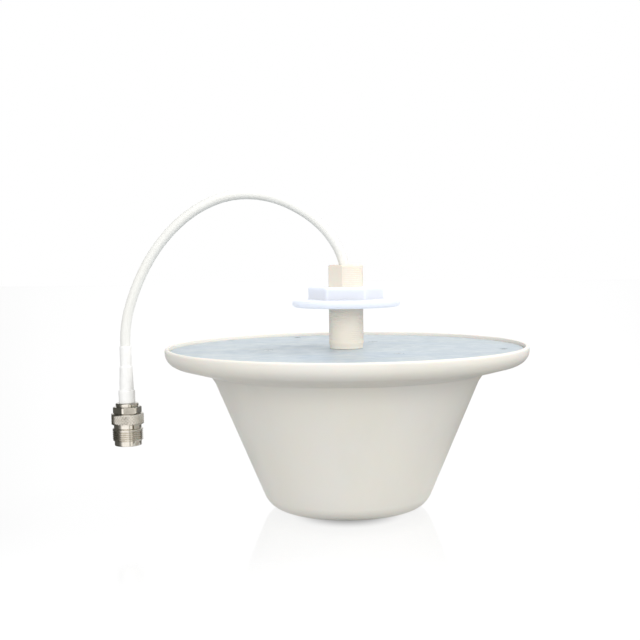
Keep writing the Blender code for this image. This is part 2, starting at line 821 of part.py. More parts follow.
def make_cable_end(end, angle, materials):
    """Pieces fixed to the cable's end; each is turned about the cable axis, pointing down -Z."""
    pivot = bpy.data.objects.new("cable_end_pivot", None)
    bpy.context.scene.collection.objects.link(pivot)
    pivot.location = end * MM
    pivot.rotation_euler.y = -(angle - math.pi)
    fitted = []

    def turned(name, outline, material, segments=24):
        # Outline points are (radius, distance from the pivot); distance runs downwards.
        piece = lathe(name, [(r, -d) for r, d in outline], materials[material], segments)
        fitted.append(piece)
        return piece

    cable, sleeve, edge = CABLE_RADIUS, CABLE_RADIUS + FINE_GAP, 0.4
    turned(
        "coax_tail",
        [
            (0, TAIL_START),
            (cable - edge, TAIL_START),
            (cable, TAIL_START + edge),
            (cable, TAIL_END),
            (0, TAIL_END),
        ],
        "cable_pvc",
    )
    turned(
        "crimp_ferrule",
        [
            (sleeve, FERRULE_START),
            (FERRULE_RADIUS, FERRULE_START),
            (FERRULE_RADIUS, FERRULE_END),
            (sleeve, FERRULE_END),
        ],
        "brass",
    )
    swell = FERRULE_RADIUS + FINE_GAP
    turned(
        "shrink_sleeve_long",
        [
            (sleeve, SHRINK_START),
            (SLEEVE_CABLE_RADIUS - 0.05, SHRINK_START),
            (SLEEVE_CABLE_RADIUS, SHRINK_START + 0.3),
            (SLEEVE_CABLE_RADIUS, FERRULE_START - 0.4),
            (SLEEVE_FERRULE_RADIUS, FERRULE_START + 0.2),
            (SLEEVE_RADIUS, SHRINK_STEP),
            (SLEEVE_RADIUS, SHRINK_END),
            (swell, SHRINK_END),
            (swell, FERRULE_START - 0.2),
            (sleeve, FERRULE_START - 0.5),
        ],
        "shrink_tube",
    )
    short_bore = SLEEVE_RADIUS + FINE_GAP
    turned(
        "shrink_sleeve_short",
        [
            (short_bore, SHRINK_STEP - 0.1),
            (SHORT_SLEEVE_RADIUS - 0.15, SHRINK_STEP - 0.1),
            (SHORT_SLEEVE_RADIUS - 0.05, SHRINK_STEP + 0.3),
            (SHORT_SLEEVE_RADIUS, SHRINK_END),
            (short_bore, SHRINK_END),
        ],
        "shrink_tube",
    )
    bush_bore = FERRULE_RADIUS + FINE_GAP
    bush_top, bush_bottom = SHRINK_END + FINE_GAP, BUSH_END
    turned(
        "jack_rear_bush",
        [
            (bush_bore, bush_top),
            (BUSH_RADIUS - 0.55, bush_top),
            (BUSH_RADIUS, bush_top + 0.5),
            (BUSH_RADIUS, bush_bottom),
            (bush_bore, bush_bottom),
        ],
        "nickel",
    )
    clamp = hex_nut(
        "jack_clamp_nut",
        CLAMP_CORNERS * math.sqrt(3) / 2,
        -CLAMP_END,
        -(BUSH_END + FINE_GAP),
        bush_bore,
        materials["nickel"],
        turn_deg=CLAMP_TURN_DEG,
        lead=0.7,
    )
    fitted.append(clamp)
    turned("jack_body", jack_outline(), "nickel", 28)
    turned(
        "jack_insulator",
        [
            (INSULATOR_HOLE, INSULATOR_START),
            (INSULATOR_RADIUS, INSULATOR_START),
            (INSULATOR_RADIUS, INSULATOR_END),
            (INSULATOR_HOLE, INSULATOR_END),
        ],
        "ptfe",
    )
    contact = turned(
        "jack_contact",
        [
            (0, CONTACT_START),
            (CONTACT_RADIUS, CONTACT_START),
            (CONTACT_RADIUS, CONTACT_END - 0.3),
            (CONTACT_RADIUS - 0.2, CONTACT_END),
            (CONTACT_BORE, CONTACT_END),
            (CONTACT_BORE, CONTACT_SOCKET),
            (0, CONTACT_SOCKET),
        ],
        "brass",
        20,
    )
    slot = box("contact_slot", (4.0, CONTACT_SLOT, 4.4), (0, 0, -CONTACT_END), materials["brass"])
    slot.parent = contact
    boolean(contact, slot, "DIFFERENCE")
    for piece in fitted:
        piece.parent = pivot
        for modifier in piece.modifiers:
            if modifier.type == "BOOLEAN" and modifier.object.parent is None:
                modifier.object.parent = pivot


def jack_outline():
    """Half section of the jack: knurled ring, neck, thread grooves, end lip and stepped bore."""
    edge = 0.35
    outline = [(CABLE_HOLE, CLAMP_END + FINE_GAP), (KNURL_RADIUS - edge, CLAMP_END + FINE_GAP)]
    outline += [(KNURL_RADIUS, CLAMP_END + FINE_GAP + edge), (KNURL_RADIUS, KNURL_END - edge)]
    outline += [(KNURL_RADIUS - edge, KNURL_END), (NECK_RADIUS, KNURL_END), (NECK_RADIUS, NECK_END)]
    root = THREAD_RADIUS - THREAD_DEPTH
    turns = int((THREAD_END - NECK_END) / THREAD_PITCH)
    for i in range(turns):
        start = NECK_END + i * THREAD_PITCH
        outline += [(root, start + 0.12 * THREAD_PITCH), (THREAD_RADIUS, start + 0.5 * THREAD_PITCH)]
        outline += [(THREAD_RADIUS, start + 0.62 * THREAD_PITCH)]
    outline += [(LIP_RADIUS, THREAD_END), (LIP_RADIUS, JACK_END - 0.3), (LIP_RADIUS - 0.3, JACK_END)]
    outline += [(JACK_BORE + 0.4, JACK_END), (JACK_BORE, JACK_END - 0.5)]
    outline += [(JACK_BORE, BORE_START), (CABLE_HOLE, BORE_START - 0.4)]
    return outline


def main():
    clear_scene()
    materials = make_materials()
    make_dome(materials)
    make_ground_plane(materials)
    make_screws(materials)
    make_stud(materials)
    make_flange_nut(materials)
    make_feed(materials)
    make_radiator(materials)
    make_supports(materials)
    end, angle = make_cable(materials)
    make_cable_end(end, angle, materials)


main()
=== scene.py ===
"""Looks of an indoor ceiling dome antenna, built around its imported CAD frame.

Lengths are in millimetres, and new_piece() turns them into metres. Places come from the frame.
Only the shaders and lamps at the end, and mesh data read from the frame, are in metres.
"""

import json
import math

import bpy
from mathutils import Matrix, Vector, noise


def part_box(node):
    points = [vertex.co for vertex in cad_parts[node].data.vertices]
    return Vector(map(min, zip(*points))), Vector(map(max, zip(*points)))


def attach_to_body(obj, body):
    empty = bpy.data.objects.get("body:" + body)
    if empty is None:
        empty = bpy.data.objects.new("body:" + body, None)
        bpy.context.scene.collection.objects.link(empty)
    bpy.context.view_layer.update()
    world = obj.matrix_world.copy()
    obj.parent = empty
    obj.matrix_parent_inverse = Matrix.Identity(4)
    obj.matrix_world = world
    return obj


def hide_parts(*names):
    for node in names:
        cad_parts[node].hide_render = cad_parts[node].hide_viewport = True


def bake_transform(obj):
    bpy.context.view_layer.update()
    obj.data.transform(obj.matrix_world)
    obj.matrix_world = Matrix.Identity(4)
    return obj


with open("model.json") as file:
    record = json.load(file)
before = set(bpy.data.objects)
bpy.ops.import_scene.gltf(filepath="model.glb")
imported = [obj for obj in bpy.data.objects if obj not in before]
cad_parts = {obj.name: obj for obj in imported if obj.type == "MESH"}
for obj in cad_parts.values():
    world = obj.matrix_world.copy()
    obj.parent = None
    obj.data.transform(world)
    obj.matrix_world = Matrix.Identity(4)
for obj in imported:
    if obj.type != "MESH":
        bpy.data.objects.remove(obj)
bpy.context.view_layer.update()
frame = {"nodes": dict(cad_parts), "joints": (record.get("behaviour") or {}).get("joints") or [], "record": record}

MM = 0.001
FULL_TURN = 2 * math.pi


def corners(node):
    low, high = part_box(node)
    return low / MM, high / MM


# Dome: its size comes from the frame, its section from these
DOME_HIGH = corners("dome_shell")[1]
RIM_RADIUS, RIM_TOP = DOME_HIGH.x, DOME_HIGH.z
WALL = 2.2
BOTTOM_FLAT = 32.0
BOTTOM_CORNER = 12.0
CONE_REF_RADIUS = 67.0
CONE_REF_HEIGHT = 64.35
CONE_SLOPE = 0.4195
FLANGE_ROOT = 70.8
FLANGE_SLOPE_DEG = 12.3
ROOT_FILLET = 1.8
RIM_CURVE = 7.6
RIM_CURVE_HEIGHT = 82.0
RIM_EDGE = 1.1
POCKET_RADIUS = 91.0
POCKET_EDGE = 0.35
LEDGE_RADIUS = 87.5
INNER_ROOT_RISE = 0.6
POST_BORE, POST_RADIUS, POST_FOOT, POST_BASE = 1.4, 4.0, 4.4, 74.3

# Ground plane and its screws
PLATE_LOW, PLATE_HIGH = corners("ground_plane")
PLATE_TOP, PLATE_BOTTOM, PLATE_RADIUS = PLATE_HIGH.z, PLATE_LOW.z, PLATE_HIGH.x
PLATE_HOLE = 7.1
PLATE_EDGE = 0.35
LEDGE_HEIGHT = PLATE_BOTTOM - 0.3
SCREW_GAP = 0.2
SCREW_HOLE = 1.4
SCREW_SHANK = 1.05
SCREW_HEAD_DEPTH = 1.05
SCREW_PLAIN_LENGTH = 2.6
SCREW_THREAD_START, SCREW_THREAD_STEP, SCREW_THREAD_DEPTH = 1.3, 0.35, 0.18
RECESS_WIDTH, RECESS_DEPTH = 0.55, 0.75

# Stud
STUD_LOW, STUD_HIGH = corners("threaded_stud")
STUD_RADIUS, STUD_TOP = STUD_HIGH.x, STUD_HIGH.z
STUD_BORE = 4.4
STUD_BORE_END = 111.0
STUD_TAIL = 6.8
STUD_THREAD_DEPTH = 0.15
STUD_PITCH = 1.0
WRENCH_FLAT_OFFSET = 7.4
WRENCH_FLAT_LENGTH = 12.0
WRENCH_FLAT_DEG = 225.0

# Flange nut
FLANGE_LOW, FLANGE_HIGH = corners("nut_flange")
HEX_HIGH = corners("nut_hex")[1]
NUT_FLAT_REACH = HEX_HIGH.y
NUT_BORE = STUD_RADIUS + 0.3
NUT_CORNER, NUT_SOFT_EDGE, NUT_LIP, NUT_FOOT = 1.6, 1.0, 1.6, 0.9
NUT_THREAD_DEPTH = 0.2

# Pigtail
LINK_LOW, LINK_HIGH = corners("cable_link_04")
CABLE_RADIUS = (LINK_HIGH.y - LINK_LOW.y) / 2
CABLE_SIDES = 32
CABLE_SINK = 0.2
CABLE_OVERLAP = 6.0
BEND_INSET = 1.0
RING_STEP = 1.2
FERRULE_SPACE = 3.03

# Jack, with a 5/8 inch thread of 24 turns to the inch
JACK_BACK_BORE, JACK_BACK_HOLE = 3.1, 3.2
CLAMP_TURN_DEG, CLAMP_CORNER, CLAMP_CHAMFER = 10.0, 1.2, 0.75
KNURL_TEETH, KNURL_DEPTH, KNURL_LENGTH = 36, 0.34, 1.75
JACK_NECK_RADIUS = 7.15
JACK_THREAD_RADIUS, JACK_THREAD_DEPTH = 7.94, 0.6
JACK_PITCH = 25.4 / 24
JACK_LIP_RADIUS = 7.0
JACK_BORE = 4.3


# ---- meshes

def new_piece(name, points, faces, material, sharp_deg=35.0):
    """Smooth-shaded object from points in millimetres; edges over sharp_deg stay crisp."""
    mesh = bpy.data.meshes.new(name)
    mesh.from_pydata([Vector(p) * MM for p in points], [], faces)
    mesh.update()
    mesh.shade_smooth()
    mesh.set_sharp_from_angle(angle=math.radians(sharp_deg))
    mesh.materials.append(material)
    obj = bpy.data.objects.new(name, mesh)
    bpy.context.scene.collection.objects.link(obj)
    return obj


class Axis:
    """A straight line that turned shapes are built round."""

    def __init__(self, origin, along, side):
        self.origin, self.along, self.side = Vector(origin), Vector(along), Vector(side)
        self.across = self.along.cross(self.side)

    def at(self, distance, radius, angle=0.0):
        radial = self.side * math.cos(angle) + self.across * math.sin(angle)
        return self.origin + self.along * distance + radial * radius

    def ring(self, distance, radius, sides):
        """Points round the axis. Radius is a number, or a function of the angle."""
        if radius == 0:
            return [self.at(distance, 0)]
        size = radius if callable(radius) else lambda angle: radius
        angles = [FULL_TURN * i / sides for i in range(sides)]
        return [self.at(distance, size(angle), angle) for angle in angles]

    def rings(self, section, sides):
        """One ring for each (radius, distance) point of a section."""
        return [self.ring(distance, radius, sides) for radius, distance in section]


def upright_at(x, y):
    return Axis((x, y, 0), (0, 0, 1), (1, 0, 0))


UPRIGHT = upright_at(0, 0)


def rings_piece(name, rings, material, loop=False, sharp_deg=35.0):
    """Closed surface through successive rings of points.

    A one-point ring closes an end to a tip. With loop, the last ring joins the first;
    without it, an end ring of many points is filled with a flat face.
    """
    points, starts = [], []
    for ring in rings:
        starts.append(len(points))
        points += ring
    faces = []
    count = len(rings)
    for i in range(count if loop else count - 1):
        j = (i + 1) % count
        near, far, n, m = starts[i], starts[j], len(rings[i]), len(rings[j])
        for k in range(max(n, m)):
            following = (k + 1) % max(n, m)
            if n == 1:
                faces.append((near, far + k, far + following))
            elif m == 1:
                faces.append((near + k, far, near + following))
            else:
                faces.append((near + k, far + k, far + following, near + following))
    if not loop:
        if len(rings[0]) > 1:
            faces.append(tuple(starts[0] + k for k in range(len(rings[0]))))
        if len(rings[-1]) > 1:
            faces.append(tuple(starts[-1] + k for k in reversed(range(len(rings[-1])))))
    if signed_volume(points, faces) < 0:
        faces = [face[::-1] for face in faces]
    return new_piece(name, points, faces, material, sharp_deg)


def signed_volume(points, faces):
    total = 0.0
    for face in faces:
        first = Vector(points[face[0]])
        for a, b in zip(face[1:], face[2:]):
            total += first.dot(Vector(points[a]).cross(Vector(points[b])))
    return total


def turned(name, section, material, axis=UPRIGHT, sides=96, sharp_deg=35.0):
    """Solid turned from (radius, distance) points; a section off the axis closes into a ring."""
    on_axis = section[0][0] == 0 and section[-1][0] == 0
    rings = axis.rings(section, sides)
    return rings_piece(name, rings, material, loop=not on_axis, sharp_deg=sharp_deg)


def arc(centre, radius, start_deg, end_deg, steps):
    """(radius, distance) points along an arc of a section, ends included."""
    points = []
    for i in range(steps + 1):
        angle = math.radians(start_deg + (end_deg - start_deg) * i / steps)
        points.append((centre[0] + radius * math.cos(angle), centre[1] + radius * math.sin(angle)))
    return points


def fillet(before, corner, after, radius, steps=5):
    """Points of an arc that rounds the corner between two straight stretches of a section."""
    corner = Vector(corner)
    to_before = (Vector(before) - corner).normalized()
    to_after = (Vector(after) - corner).normalized()
    half = to_before.angle(to_after) / 2
    reach = radius / math.tan(half)
    centre = corner + (to_before + to_after).normalized() * (radius / math.sin(half))
    first = corner + to_before * reach - centre
    last = corner + to_after * reach - centre
    return [tuple(centre + first.slerp(last, i / steps)) for i in range(steps + 1)]


def spaced(start, end, step):
    """Evenly spaced values from start to end, ends included, no further apart than step."""
    count = max(1, math.ceil(abs(end - start) / step))
    return [start + (end - start) * i / count for i in range(count + 1)]


def hexagon(flat_reach, corner_radius, grow=0.0):
    """Radius by angle of a hexagon with rounded corners, its corners at 0, 60, 120 degrees and on."""
    core = flat_reach - corner_radius
    corner_at = core / math.cos(math.pi / 6)
    rounding = max(corner_radius + grow, 0.02)
    reach = core + rounding
    flat_end = math.atan2(core * math.tan(math.pi / 6), reach)

    def radius(angle):
        from_flat = abs((angle % (math.pi / 3)) - math.pi / 6)
        if from_flat < flat_end:
            return reach / math.cos(from_flat)
        off = math.pi / 6 - from_flat
        return corner_at * math.cos(off) + math.sqrt(rounding**2 - (corner_at * math.sin(off)) ** 2)

    return radius


def cut(obj, *cutters):
    """Cuts shapes out of a piece for good, then removes the cutters."""
    for cutter in cutters:
        modifier = obj.modifiers.new("Cut", "BOOLEAN")
        modifier.operation = "DIFFERENCE"
        modifier.solver = "EXACT"
        modifier.object = cutter
    graph = bpy.context.evaluated_depsgraph_get()
    mesh = bpy.data.meshes.new_from_object(obj.evaluated_get(graph))
    obj.modifiers.clear()
    old, obj.data = obj.data, mesh
    mesh.name = obj.name
    bpy.data.meshes.remove(old)
    mesh.shade_smooth()
    mesh.set_sharp_from_angle(angle=math.radians(30))
    for cutter in cutters:
        bpy.data.objects.remove(cutter)
    return obj


def block(name, size, centre, turn_deg, material):
    """Box used as a cutter, turned about Z after it is centred."""
    turn = Matrix.Rotation(math.radians(turn_deg), 3, "Z")
    signs = [(x, y, z) for x in (-1, 1) for y in (-1, 1) for z in (-1, 1)]
    points = [turn @ Vector([c + s * half / 2 for c, s, half in zip(centre, sign, size)]) for sign in signs]
    faces = [(0, 1, 3, 2), (4, 6, 7, 5), (0, 4, 5, 1), (2, 3, 7, 6), (0, 2, 6, 4), (1, 5, 7, 3)]
    return new_piece(name, points, faces, material)


def attach(piece, body, slot, *shown):
    """Rides a piece on its body in place of the CAD nodes that it shows. The slot is not used."""
    if shown:
        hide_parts(*shown)
    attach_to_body(piece, body)


# ---- materials

class Nodes:
    """Short calls for building a node tree."""

    def __init__(self, tree):
        self.tree = tree

    def add(self, kind, inputs=(), **settings):
        """A node; inputs are values or sockets, in the order of the node's own sockets."""
        node = self.tree.nodes.new("ShaderNode" + kind)
        for key, value in settings.items():
            setattr(node, key, value)
        for socket, value in zip(node.inputs, inputs):
            self.fill(socket, value)
        return node

    def feed(self, node, **inputs):
        """Fills inputs of a node by name, with _ for a space."""
        for key, value in inputs.items():
            self.fill(node.inputs[key.replace("_", " ")], value)

    def fill(self, socket, value):
        if isinstance(value, bpy.types.NodeSocket):
            self.tree.links.new(value, socket)
        else:
            socket.default_value = value

    def number(self, operation, first, second=0.0):
        return self.add("Math", (first, second), operation=operation).outputs[0]

    def vector(self, operation, first, second):
        return self.add("VectorMath", (first, second), operation=operation)

    def step(self, value, start, end, low=0.0, high=1.0):
        """Number that eases from low to high while value goes from start to end."""
        inputs = (value, start, end, low, high)
        return self.add("MapRange", inputs, interpolation_type="SMOOTHSTEP").outputs[0]

    def blend(self, share, first, second):
        """Colour between two colours; each is a socket or three numbers."""
        node = self.add("Mix", (share,), data_type="RGBA")
        for socket, value in ((node.inputs[6], first), (node.inputs[7], second)):
            self.fill(socket, value if isinstance(value, bpy.types.NodeSocket) else (*value, 1.0))
        return node.outputs[2]

    def grey(self, value):
        return self.add("CombineColor", (value, value, value)).outputs[0]


class Finish(Nodes):
    """A procedural material, built a layer at a time on one Principled shader."""

    def __init__(self, name, colour, roughness, metallic=0.0, **inputs):
        self.material = bpy.data.materials.new(name)
        self.material.use_nodes = True
        super().__init__(self.material.node_tree)
        self.shader = self.tree.nodes["Principled BSDF"]
        self.coordinates = self.add("TexCoord").outputs["Object"]
        self.colour = self.add("RGB").outputs[0]
        self.colour.default_value = (*colour, 1.0)
        self.normal = None
        self.feed(self.shader, Base_Color=self.colour, Roughness=roughness, Metallic=metallic, **inputs)

    def grain(self, size, detail, stretch=(1, 1, 1), distortion=0.0):
        """Noise whose blotches are about size millimetres across, divided by stretch on each axis."""
        stretched, noise_node = self.add("Mapping"), self.add("TexNoise")
        self.feed(stretched, Vector=self.coordinates, Scale=stretch)
        self.feed(noise_node, Vector=stretched.outputs[0], Scale=1 / (size * MM))
        self.feed(noise_node, Detail=detail, Roughness=0.55, Distortion=distortion)
        return noise_node.outputs[0]

    def tint(self, amount, colour):
        """Mixes a colour in, by an amount from 0 to 1 that may vary over the surface."""
        self.colour = self.blend(amount, self.colour, colour)
        self.feed(self.shader, Base_Color=self.colour)

    def mottle(self, colour, share, start, end, *grain, **shape):
        """Mixes in up to a share of a colour, where the grain rises from start to end."""
        self.tint(self.step(self.grain(*grain, **shape), start, end, 0.0, share), colour)

    def vary_roughness(self, low, high, *grain, **shape):
        self.feed(self.shader, Roughness=self.step(self.grain(*grain, **shape), 0.3, 0.7, low, high))

    def bump(self, depth, *grain, **shape):
        """Raises the surface by up to depth millimetres, in the pattern of a grain."""
        made = self.add("Bump")
        self.feed(made, Height=self.grain(*grain, **shape), Distance=depth * MM)
        if self.normal is not None:
            self.feed(made, Normal=self.normal)
        self.normal = made.outputs[0]
        self.feed(self.shader, Normal=self.normal)


def moulded_plastic(name, colour, shade, warm, roughness, grain_size=0.9, texture=0.012, **inputs):
    """Injection-moulded plastic: faint flow marks, fine pebble, satin sheen that varies."""
    finish = Finish(name, colour, roughness, **inputs)
    finish.mottle(warm, 0.45, 0.35, 0.7, 38, 2)
    finish.mottle(shade, 0.16, 0.45, 0.8, 16, 3, stretch=(1, 1, 0.3))
    finish.mottle(shade, 0.25, 0.62, 0.85, 0.35, 2)
    finish.vary_roughness(roughness - 0.06, roughness + 0.08, 6, 4)
    finish.bump(texture, grain_size, 2)
    finish.bump(texture * 3, 14, 2)
    return finish


def dome_finish():
    finish = moulded_plastic(
        "dome plastic", (0.715, 0.70, 0.655), (0.62, 0.61, 0.565), (0.725, 0.70, 0.615), 0.40,
        Subsurface_Weight=0.12, Subsurface_Scale=0.003, Specular_IOR_Level=0.15,
    )
    # Painted shade darkens the wall low down, near the floor; the height is in metres
    height = finish.add("SeparateXYZ", (finish.coordinates,)).outputs[2]
    finish.tint(finish.step(height, 0.0, 0.02, 0.3, 0.0), (0.66, 0.65, 0.59))
    return finish.material


def stud_finish():
    finish = moulded_plastic(
        "stud plastic", (0.74, 0.685, 0.605), (0.68, 0.63, 0.55), (0.74, 0.68, 0.58), 0.42,
        grain_size=0.5, texture=0.008,
        Subsurface_Weight=0.2, Subsurface_Scale=0.003, Specular_IOR_Level=0.2,
    )
    return finish.material


def nut_finish():
    """Unpigmented nylon: milky white with a lavender cast, light spreading deep inside it, and a faint painted
    glow for the light that passes through it.
    """
    finish = Finish(
        "nut nylon", (0.36, 0.375, 0.42), 0.34, Specular_IOR_Level=0.35, IOR=1.53,
        Subsurface_Weight=1.0, Subsurface_Scale=0.010, Subsurface_Radius=(0.8, 0.9, 1.0),
        # The emission is painted light: a faint glow that stands in for light passing through the milky nylon.
        Emission_Strength=0.43, Emission_Color=(0.93, 0.955, 1.0, 1.0),
    )
    finish.mottle((0.33, 0.35, 0.42), 0.35, 0.35, 0.75, 24, 2)
    finish.mottle((0.39, 0.40, 0.43), 0.12, 0.6, 0.85, 0.6, 2)
    finish.vary_roughness(0.28, 0.40, 5, 3)
    finish.bump(0.03, 9, 2)
    finish.bump(0.004, 0.5, 2)
    return finish.material


def plate_finish():
    """Rolled aluminium sheet: bluish and milky, with greenish patches, short ripples and fine streaks."""
    finish = Finish("ground plane aluminium", (0.535, 0.61, 0.67), 0.42, metallic=0.4)
    finish.mottle((0.60, 0.66, 0.67), 0.7, 0.40, 0.64, 24, 4, stretch=(0.6, 1.3, 1), distortion=1.0)
    finish.mottle((0.48, 0.57, 0.65), 0.6, 0.50, 0.68, 13, 4, stretch=(0.7, 1.0, 1), distortion=0.6)
    finish.mottle((0.47, 0.54, 0.60), 0.5, 0.44, 0.70, 2.4, 5, stretch=(0.28, 1.5, 1), distortion=1.2)
    finish.mottle((0.68, 0.75, 0.77), 0.55, 0.58, 0.70, 5.0, 4, stretch=(0.45, 1.0, 1), distortion=0.8)
    finish.vary_roughness(0.32, 0.52, 7, 5, distortion=0.5)
    finish.bump(0.10, 6.5, 3, stretch=(0.45, 1.3, 1), distortion=0.9)
    finish.bump(0.006, 0.5, 2, stretch=(0.15, 1.6, 1))
    return finish.material


def metal(name, colour, dull, roughness, grain_size=0.6, texture=0.004):
    """Plated or turned metal: faint tarnish in patches, fine tooling grain."""
    finish = Finish(name, colour, roughness, metallic=1.0)
    finish.mottle(dull, 0.5, 0.48, 0.75, 3.5, 4, distortion=0.7)
    finish.mottle(dull, 0.4, 0.6, 0.85, 0.5, 2)
    finish.vary_roughness(roughness * 0.75, roughness * 1.35, 1.6, 4)
    finish.bump(texture, grain_size, 3, stretch=(1, 1, 4))
    return finish.material


def cable_finish():
    finish = Finish("cable jacket", (0.74, 0.74, 0.715), 0.38, Coat_Weight=0.1, Coat_Roughness=0.35)
    finish.mottle((0.74, 0.73, 0.69), 0.4, 0.42, 0.7, 16, 3)
    finish.mottle((0.74, 0.74, 0.71), 0.15, 0.6, 0.85, 2.6, 2)
    finish.vary_roughness(0.32, 0.46, 3, 3)
    finish.bump(0.006, 1.2, 2)
    finish.bump(0.03, 5, 2)
    return finish.material


def shrink_finish():
    finish = Finish("heat-shrink sleeve", (0.81, 0.81, 0.80), 0.35, Coat_Weight=0.1, Coat_Roughness=0.35)
    finish.mottle((0.78, 0.785, 0.78), 0.4, 0.45, 0.72, 6, 3)
    finish.vary_roughness(0.28, 0.42, 2, 3)
    finish.bump(0.03, 1.4, 3, stretch=(1, 1, 2.2), distortion=0.5)
    finish.bump(0.006, 0.3, 2)
    return finish.material


def make_finishes():
    """Finish of each material slot."""
    nickel_colours = (0.72, 0.69, 0.63), (0.58, 0.55, 0.49)
    zinc_colours = (0.82, 0.84, 0.86), (0.70, 0.72, 0.74)
    ptfe_colours = (0.88, 0.88, 0.86), (0.78, 0.78, 0.76), (0.88, 0.87, 0.82)
    nylon_colours = (0.82, 0.80, 0.72), (0.70, 0.67, 0.58), (0.82, 0.78, 0.66)
    return {
        "dome_abs": dome_finish(),
        "stud_abs": stud_finish(),
        "nut_nylon": nut_finish(),
        "aluminium": plate_finish(),
        "nickel": metal("nickel plate", *nickel_colours, 0.13, texture=0.002),
        "brass": metal("brass", (0.76, 0.58, 0.29), (0.55, 0.40, 0.19), 0.26),
        "black_steel": metal("blackened steel", (0.085, 0.087, 0.095), (0.05, 0.05, 0.05), 0.36),
        "steel": metal("zinc-plated steel", *zinc_colours, 0.36),
        "tinplate": metal("tinplate", (0.66, 0.67, 0.68), (0.52, 0.53, 0.53), 0.28, grain_size=1.2),
        "solder": metal("solder", (0.56, 0.57, 0.59), (0.42, 0.43, 0.44), 0.32, grain_size=1.0, texture=0.05),
        "copper": metal("copper", (0.78, 0.40, 0.25), (0.52, 0.25, 0.15), 0.26),
        "cable_pvc": cable_finish(),
        "shrink_tube": shrink_finish(),
        "ptfe": moulded_plastic("PTFE", *ptfe_colours, 0.46).material,
        "nylon": moulded_plastic("nylon", *nylon_colours, 0.44).material,
    }


# ---- dome

def cone_radius(height):
    return CONE_REF_RADIUS + CONE_SLOPE * (height - CONE_REF_HEIGHT)


def dome_section():
    """Outer side from the middle of the flat bottom to the rim's crest, then the inner side back down."""
    cone_deg = math.degrees(math.atan(CONE_SLOPE))
    wall_across = WALL / math.cos(math.radians(cone_deg))
    corner_centre = (BOTTOM_FLAT, BOTTOM_CORNER)
    rim_centre = (RIM_RADIUS - RIM_CURVE, RIM_CURVE_HEIGHT)
    crest_centre = (RIM_RADIUS - RIM_EDGE, RIM_TOP - RIM_EDGE)
    outer = [(0, 0)] + [(r, 0) for r in spaced(8, BOTTOM_FLAT - 4, 8)]
    outer += arc(corner_centre, BOTTOM_CORNER, -90, -cone_deg, 12)
    outer += [(cone_radius(z), z) for z in spaced(12, FLANGE_ROOT - 5, 6)]
    under_rim = arc(rim_centre, RIM_CURVE, FLANGE_SLOPE_DEG - 90, 0, 18)
    root = (cone_radius(FLANGE_ROOT), FLANGE_ROOT)
    outer += fillet(outer[-1], root, under_rim[0], ROOT_FILLET, 6)
    outer += under_rim
    outer += arc(crest_centre, RIM_EDGE, 0, 90, 6)
    inner_crest = (POCKET_RADIUS + POCKET_EDGE, RIM_TOP - POCKET_EDGE)
    inner = arc(inner_crest, POCKET_EDGE, 90, 180, 3)
    inner_curve = RIM_CURVE - WALL
    ledge_deg = -math.degrees(math.acos((LEDGE_RADIUS - rim_centre[0]) / inner_curve))
    inner += [(POCKET_RADIUS, LEDGE_HEIGHT), (LEDGE_RADIUS, LEDGE_HEIGHT)]
    inner += arc(rim_centre, inner_curve, ledge_deg, FLANGE_SLOPE_DEG - 90, 4)
    inner_root = FLANGE_ROOT + INNER_ROOT_RISE
    inner += [(cone_radius(inner_root) + INNER_ROOT_RISE, inner_root + 2.0)]
    inner += [(cone_radius(z) - wall_across, z) for z in spaced(inner_root, 12, 8)]
    inner += arc(corner_centre, BOTTOM_CORNER - WALL, -cone_deg, -90, 8)
    return outer + inner + [(0, WALL)]


def screw_post(i, material):
    """Hollow post under the plate that one rim screw bites into."""
    low, high = corners(f"cover_screw_{i}")
    centre = (low + high) / 2
    section = [(POST_BORE, LEDGE_HEIGHT), (POST_RADIUS, LEDGE_HEIGHT), (POST_RADIUS + 0.05, POST_BASE + 1.8)]
    section += [(POST_FOOT, POST_BASE + 0.9), (POST_FOOT, POST_BASE), (POST_BORE, POST_BASE)]
    return turned(f"screw_post_{i}", section, material, upright_at(centre.x, centre.y), sides=40)


def make_dome(finishes):
    material = finishes["dome_abs"]
    dome = turned("dome_shell_skin", dome_section(), material, sides=192, sharp_deg=38)
    attach(dome, "antenna", "dome_abs", "dome_shell")
    for i in range(1, 4):
        attach(screw_post(i, material), "antenna", "dome_abs")


# ---- ground plane and screws

def screw_kinds():
    """(node name, centre, head radius) of each screw that shows in the ground plane."""
    found = []
    for kind in ("cover_screw", "standoff_screw"):
        for i in range(1, 4):
            low, high = corners(f"{kind}_{i}")
            found.append((f"{kind}_{i}", (low + high) / 2, (high.x - low.x) / 2))
    return found


def screw_sink(name, centre, head, material):
    """Cutter for a screw's hole in the plate: a bore, a cone that takes the head and a broken edge."""
    wide = head + SCREW_GAP
    mouth = wide + 0.25
    below, above = PLATE_BOTTOM - 1, PLATE_TOP + 1
    section = [(0, below), (SCREW_HOLE, below), (SCREW_HOLE, PLATE_TOP - 1.2), (wide, PLATE_TOP - 0.15)]
    section += [(mouth, PLATE_TOP + 0.1), (mouth, above), (0, above)]
    return turned(f"sink_{name}", section, material, upright_at(centre.x, centre.y), sides=40)


def make_plate(finishes):
    """Thin disc with a softened edge, a hole for the stud and a sink for each screw."""
    material = finishes["aluminium"]
    rim = PLATE_RADIUS - PLATE_EDGE
    flat_radii = spaced(12, PLATE_RADIUS - 8, 12)
    section = [(PLATE_HOLE, PLATE_BOTTOM)] + [(r, PLATE_BOTTOM) for r in flat_radii]
    section += arc((rim, PLATE_BOTTOM + PLATE_EDGE), PLATE_EDGE, -90, 0, 3)
    section += arc((rim, PLATE_TOP - PLATE_EDGE), PLATE_EDGE, 0, 90, 3)
    section += [(r, PLATE_TOP) for r in reversed(flat_radii)] + [(PLATE_HOLE, PLATE_TOP)]
    plate = turned("ground_plane_sheet", section, material, sides=192)
    cut(plate, *[screw_sink(*kind, material) for kind in screw_kinds()])
    attach(plate, "antenna", "aluminium", "ground_plane")


